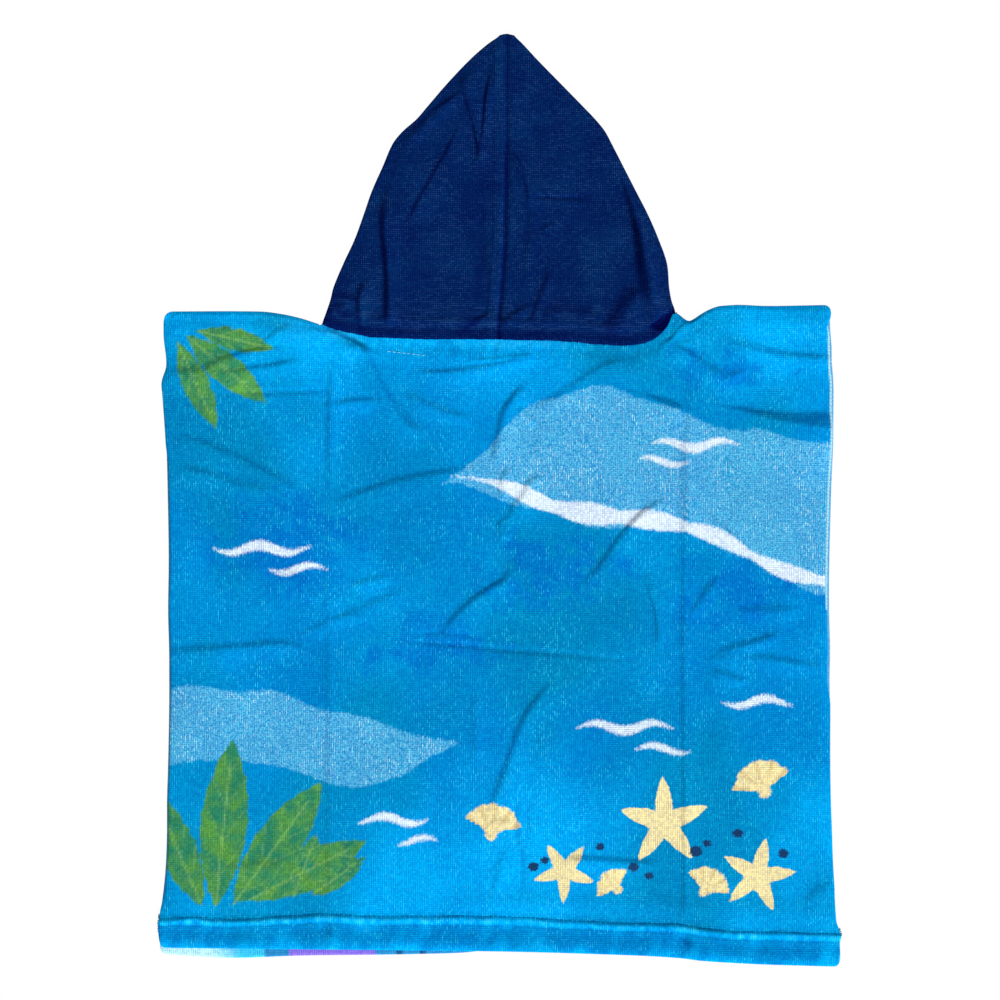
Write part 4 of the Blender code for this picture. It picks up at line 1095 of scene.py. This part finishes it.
bumpDepth = 0.0002             # metres
bodyPile = {
    "wale": 1.98,               # millimetres from one rib of loops to the next
    "row": 1.9,
    "wander": 1.1,              # how many ribs or rows they drift by
    "weaveDepth": 0.125,
    "loopDepth": 0.12,
    "cloudDepth": 0.05,
    "rowSpots": (0.5, 0.64),    # between these values of a noise the rows take over from the ribs
    "ticks": (1.0, 0.75),       # how many light ticks there are to a rib and to a row
    "upright": 0.7,             # how light a tick stays between two rows
    "dimmest": 0.62,            # a tick is seen where its random number is over this
    "tickMix": 0.6,
    "tickGain": 0.2,
    "rowLight": 0.0,
}
hoodPile = {
    **bodyPile,
    "weaveDepth": 0.2,
    "loopDepth": 0.192,
    "cloudDepth": 0.09,
    "rowSpots": (0.4, 0.56),
    "ticks": (0.7, 1.0),
    "upright": 0.0,
    "dimmest": 0.36,
    "tickMix": 0.46,
    "rowLight": 0.42,
}


class Looks:
    # a material's nodes, put together a step at a time
    def __init__(self, name, roughness=0.92):
        self.material = bpy.data.materials.new(name)
        self.material.use_nodes = True
        self.tree = self.material.node_tree
        self.shader = self.tree.nodes["Principled BSDF"]
        self.shader.inputs["Roughness"].default_value = roughness
        self.shader.inputs["Specular IOR Level"].default_value = 0.015
        self.places = self.node("TexCoord", out="Object")

    def set(self, socket, value):
        if isinstance(value, bpy.types.NodeSocket):
            self.tree.links.new(value, socket)
        else:
            socket.default_value = value[:3] if socket.type == "VECTOR" else value

    def node(self, kind, *values, out=0, **settings):
        # a node with its settings and the values of its first sockets; one of its outputs is handed back
        node = self.tree.nodes.new("ShaderNode" + kind)
        for name, setting in settings.items():
            setattr(node, name, setting)
        for socket, value in zip(node.inputs, values):
            self.set(socket, value)
        return node.outputs[out]

    def split(self):
        parts = self.node("SeparateXYZ", self.places).node.outputs
        return parts[0], parts[1]

    def noise(self, scale, detail, seed):
        moved = self.node("Mapping", self.places, (seed, seed * 1.7, 0.0), (0.0, 0.0, 0.0), scale)
        return self.node("TexNoise", moved, 0.0, 1.0, detail)

    def attribute(self, name):
        return self.node("Attribute", out="Fac", attribute_name=name)

    def chance(self, *cell):
        # one random number for each cell of a grid
        return self.node("TexWhiteNoise", self.node("CombineXYZ", *cell), out="Value")

    def maths(self, operation, *values):
        return self.node("Math", *values, operation=operation)

    def times(self, first, second):
        return self.maths("MULTIPLY", first, second)

    def plus(self, first, second):
        return self.maths("ADD", first, second)

    def scaled(self, value, factor, shift):
        return self.maths("MULTIPLY_ADD", value, factor, shift)

    def ranged(self, value, low, high, toLow=0.0, toHigh=1.0):
        return self.node("MapRange", value, low, high, toLow, toHigh)

    def mix(self, factor, first, second):
        mixer = self.node("Mix", factor, out=2, data_type="RGBA")
        self.set(mixer.node.inputs[6], first)
        self.set(mixer.node.inputs[7], second)
        return mixer

    def tinted(self, colour, factor, green=1.4, blue=0.6):
        # blue changes less than the rest, as it does in dyed cloth where less light comes back
        powers = [self.maths("POWER", factor, power) for power in (green, green, blue)]
        return self.node("VectorMath", colour, self.node("CombineXYZ", *powers), operation="MULTIPLY")

    def finish(self, colour, height=None):
        self.set(self.shader.inputs["Base Color"], colour)
        if height is not None:
            bump = self.tree.nodes.new("ShaderNodeBump")
            bump.inputs["Distance"].default_value = bumpDepth
            self.set(bump.inputs["Height"], height)
            self.tree.links.new(bump.outputs["Normal"], self.shader.inputs["Normal"])
        return self.material


def pileOf(look, pile):
    # loops on a grid, each with its own brightness; mostly the ribs stand out, and here and there the rows
    x, y = look.split()
    ribWander = look.times(look.noise((9.0, 26.0, 9.0), 1.0, 2.0), pile["wander"])
    rowWander = look.times(look.noise((26.0, 9.0, 9.0), 1.0, 4.0), pile["wander"])
    ribs = look.scaled(x, 1 / (pile["wale"] * mm), ribWander)
    rows = look.scaled(y, 1 / (pile["row"] * mm), rowWander)
    rib, row = look.maths("FLOOR", ribs), look.maths("FLOOR", rows)
    onRib = look.maths("SINE", look.scaled(ribs, math.tau, -math.pi / 2))
    onRow = look.maths("SINE", look.scaled(rows, math.tau, -math.pi / 2))

    def runs(ribShare, rowShare, seed):
        # a random number for each run of loops; neighbouring runs are staggered
        ribShift = look.times(row, 0.41 if ribShare < 1 else 0.0)
        rowShift = look.times(rib, 0.37 if rowShare < 1 else 0.0)
        first = look.maths("FLOOR", look.scaled(ribs, ribShare, ribShift))
        second = look.maths("FLOOR", look.scaled(rows, rowShare, rowShift))
        return look.chance(first, second, seed)

    def between(value, low, high):
        return look.ranged(value, 0.0, 1.0, low, high)

    rowed = look.attribute("rowed")
    share = look.ranged(look.noise((34.0, 24.0, 24.0), 2.0, 6.0), *pile["rowSpots"])
    share = look.maths("MAXIMUM", share, rowed)
    ribSize = look.times(between(runs(1.0, 0.16, 2.0), 0.0, 1.6), between(share, 1.0, 0.3))
    rowSize = look.times(between(runs(0.26, 1.0, 3.0), 0.1, 1.3), between(share, 0.3, 1.0))
    weave = look.plus(look.times(onRib, ribSize), look.times(onRow, rowSize))
    loops = between(runs(1.0, 1.0, 1.0), -1.0, 1.0)
    weave = look.scaled(loops, pile["loopDepth"] / pile["weaveDepth"], weave)

    dense = look.ranged(look.noise((34.0, 22.0, 22.0), 2.0, 13.0), 0.3, 0.7, -0.2, 0.12)
    lit = look.ranged(look.plus(runs(*pile["ticks"], 5.0), dense), pile["dimmest"], 1.0)
    lit = look.maths("POWER", lit, 1.6)
    spot = look.times(look.ranged(onRib, 0.2, 0.95), look.ranged(onRow, -0.5, 0.8, pile["upright"], 1.0))
    rowLit = look.times(look.ranged(runs(0.2, 1.0, 8.0), 0.5, 1.0, 0.0, pile["rowLight"]), rowed)
    rowLit = look.times(look.ranged(onRow, 0.0, 0.9), rowLit)
    ticks = look.maths("MAXIMUM", look.times(lit, spot), rowLit)
    height = look.scaled(weave, 0.3, look.times(ticks, 0.4))
    return weave, ticks, height


def toneOf(look, pile, weave):
    clouds = look.ranged(look.noise((16.0, 13.0, 13.0), 2.0, 11.0), 0.3, 0.7, -1.0, 1.0)
    return look.scaled(clouds, pile["cloudDepth"], look.scaled(weave, pile["weaveDepth"], 1.0))


def printMaterial():
    look = Looks("backPrint")
    weave, ticks, height = pileOf(look, bodyPile)
    ragged = look.ranged(look.noise((620.0, 420.0, 420.0), 1.0, 3.0), 0.3, 0.7, -1.0, 1.0)
    light = look.attribute("light")

    def within(name, soft):
        return look.ranged(look.plus(look.attribute(name), ragged), -soft, soft)

    colour = look.mix(look.ranged(light, 0.0, 1.0), inks["azure"], inks["azureLight"])
    colour = look.mix(look.ranged(look.attribute("teal"), -30.0, 50.0, 0.0, 0.8), colour, inks["teal"])
    scumble = look.scaled(look.noise((90.0, 70.0, 70.0), 3.0, 15.0), 60.0, -30.0)
    deep = look.ranged(look.plus(look.attribute("deep"), scumble), -14.0, 14.0)
    colour = look.mix(look.times(deep, 0.65), colour, inks["deep"])

    pale = within("pale", 1.2)
    grain = look.ranged(look.noise((700.0, 620.0, 620.0), 1.0, 19.0), 0.34, 0.66, 0.0, 0.85)
    grained = look.mix(grain, inks["pale"], inks["paleLight"])
    colour = look.mix(look.times(pale, 0.85), colour, grained)
    lit = look.mix(pale, inks["speck"], inks["foam"])
    # where the light value passes 1, as on the painted highlights of the hem's roll and under the hood, more
    # speck ink is mixed in, which paints the highlight brighter
    brightest = look.ranged(light, 1.0, 2.0, 0.0, 0.6)
    colour = look.mix(look.scaled(ticks, bodyPile["tickMix"], brightest), colour, lit)

    leafTone = look.ranged(look.noise((60.0, 60.0, 60.0), 2.0, 5.0), 0.35, 0.65)
    greens = look.mix(leafTone, inks["green"], inks["greenLight"])
    greens = look.mix(look.times(look.attribute("veins"), 0.4), greens, inks["vein"])
    sands = look.mix(look.ranged(look.attribute("ribs"), 0.2, 1.0, 0.0, 0.5), inks["sand"], inks["sandDark"])
    for motif, soft, ink in (("green", 0.9, greens), ("sand", 0.9, sands), ("foam", 1.4, inks["foam"]),
                             ("pebble", 0.8, inks["pebble"])):
        colour = look.mix(within(motif, soft), colour, ink)

    tone = look.scaled(ticks, bodyPile["tickGain"], toneOf(look, bodyPile, weave))
    colour = look.tinted(look.tinted(colour, tone), look.attribute("shade"), 1.3, 0.87)
    return look.finish(colour, height)


def frontMaterial():
    look = Looks("frontPrint")
    weave, _, height = pileOf(look, bodyPile)
    colour = inks["front"]
    for patch, soft, ink in (("aqua", 1.0, "aqua"), ("foam", 14.0, "frontFoam"), ("lilac", 1.0, "lilac"),
                             ("pebble", 0.6, "pebble")):
        colour = look.mix(look.ranged(look.attribute(patch), -soft, soft), colour, inks[ink])
    return look.finish(look.tinted(colour, look.scaled(weave, bodyPile["weaveDepth"], 1.0)), height)


def hoodMaterial():
    look = Looks("hoodNavy")
    weave, ticks, height = pileOf(look, hoodPile)
    navy = look.tinted(inks["navy"], toneOf(look, hoodPile, weave))
    colour = look.mix(look.times(ticks, hoodPile["tickMix"]), navy, inks["navySpeck"])
    return look.finish(look.tinted(colour, look.attribute("shade"), 2.0, 0.75), height)


def threadMaterial(ink):
    return Looks(ink, roughness=0.7).finish(inks[ink])


backCloth.data.materials.append(printMaterial())
frontCloth.data.materials.append(frontMaterial())
navyCloth = hoodMaterial()
hoodLeftCloth.data.materials.append(navyCloth)
hoodRightCloth.data.materials.append(navyCloth)
for piece, ink in ((hemStitches, "hemThread"), (armholeOverlock, "overlockThread"),
                   (neckTopstitch, "topstitchThread"), (hemEndThreads, "edgeThread")):
    piece.data.materials.append(threadMaterial(ink))
print("the materials are made")


# each cloth piece hangs from the root and hides the CAD part it stands for, and half its surface is printed;
# the threads hang from the root too
for piece, node, slot in ((backCloth, "back_panel", "back_print"), (frontCloth, "front_panel", "front_print"),
                          (hoodLeftCloth, "hood_left", "hood_cloth"),
                          (hoodRightCloth, "hood_right", "hood_cloth")):
    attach(piece, "root")
    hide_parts(node)
    print(piece.name, "half its surface:", round(sum(face.area for face in piece.data.polygons) / 2, 4))
for piece in (hemStitches, armholeOverlock, neckTopstitch, hemEndThreads):
    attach(piece, "root")


# floor, light and camera
studio = {
    "world": 0.4,
    "sun": 4.2,
    "sunAngleDeg": 16.0,
    "towardsSun": (0.45, -0.75, 0.52),
    "floorSize": 8.0,
    "floorDrop": 0.0003,
    "floorGrey": 0.015,
    "floorGlow": 0.985,
    "cameraHeight": 1.254,
    "lens": 50.0,
    "sensor": 36.0,
}


def buildStudio():
    white = (1.0, 1.0, 1.0, 1.0)
    bpy.ops.object.select_all(action="DESELECT")
    bpy.ops.mesh.primitive_plane_add(size=studio["floorSize"], location=(0, 0, -studio["floorDrop"]))
    floor = bpy.context.object
    floor.name = "studioFloor"
    look = Looks("studioFloor", roughness=0.95)
    look.shader.inputs["Emission Color"].default_value = white
    look.shader.inputs["Emission Strength"].default_value = studio["floorGlow"]
    floor.data.materials.append(look.finish((studio["floorGrey"],) * 3 + (1.0,)))

    world = bpy.data.worlds.new("studioWorld")
    world.use_nodes = True
    background = world.node_tree.nodes["Background"]
    background.inputs["Color"].default_value = white
    background.inputs["Strength"].default_value = studio["world"]
    bpy.context.scene.world = world

    sun = bpy.data.lights.new("studioSun", "SUN")
    sun.energy = studio["sun"]
    sun.angle = math.radians(studio["sunAngleDeg"])
    lamp = bpy.data.objects.new("studioSun", sun)
    lamp.rotation_euler = Vector(studio["towardsSun"]).to_track_quat("Z", "Y").to_euler()
    bpy.context.scene.collection.objects.link(lamp)

    lens = bpy.data.cameras.new("studioCamera")
    lens.lens = studio["lens"]
    lens.sensor_width = studio["sensor"]
    lens.dof.use_dof = False
    camera = bpy.data.objects.new("studioCamera", lens)
    camera.location = (0.0, 0.0, studio["cameraHeight"])
    bpy.context.scene.collection.objects.link(camera)
    bpy.context.scene.camera = camera
    bpy.context.scene.view_settings.view_transform = "Standard"


buildStudio()
print("the studio is set")
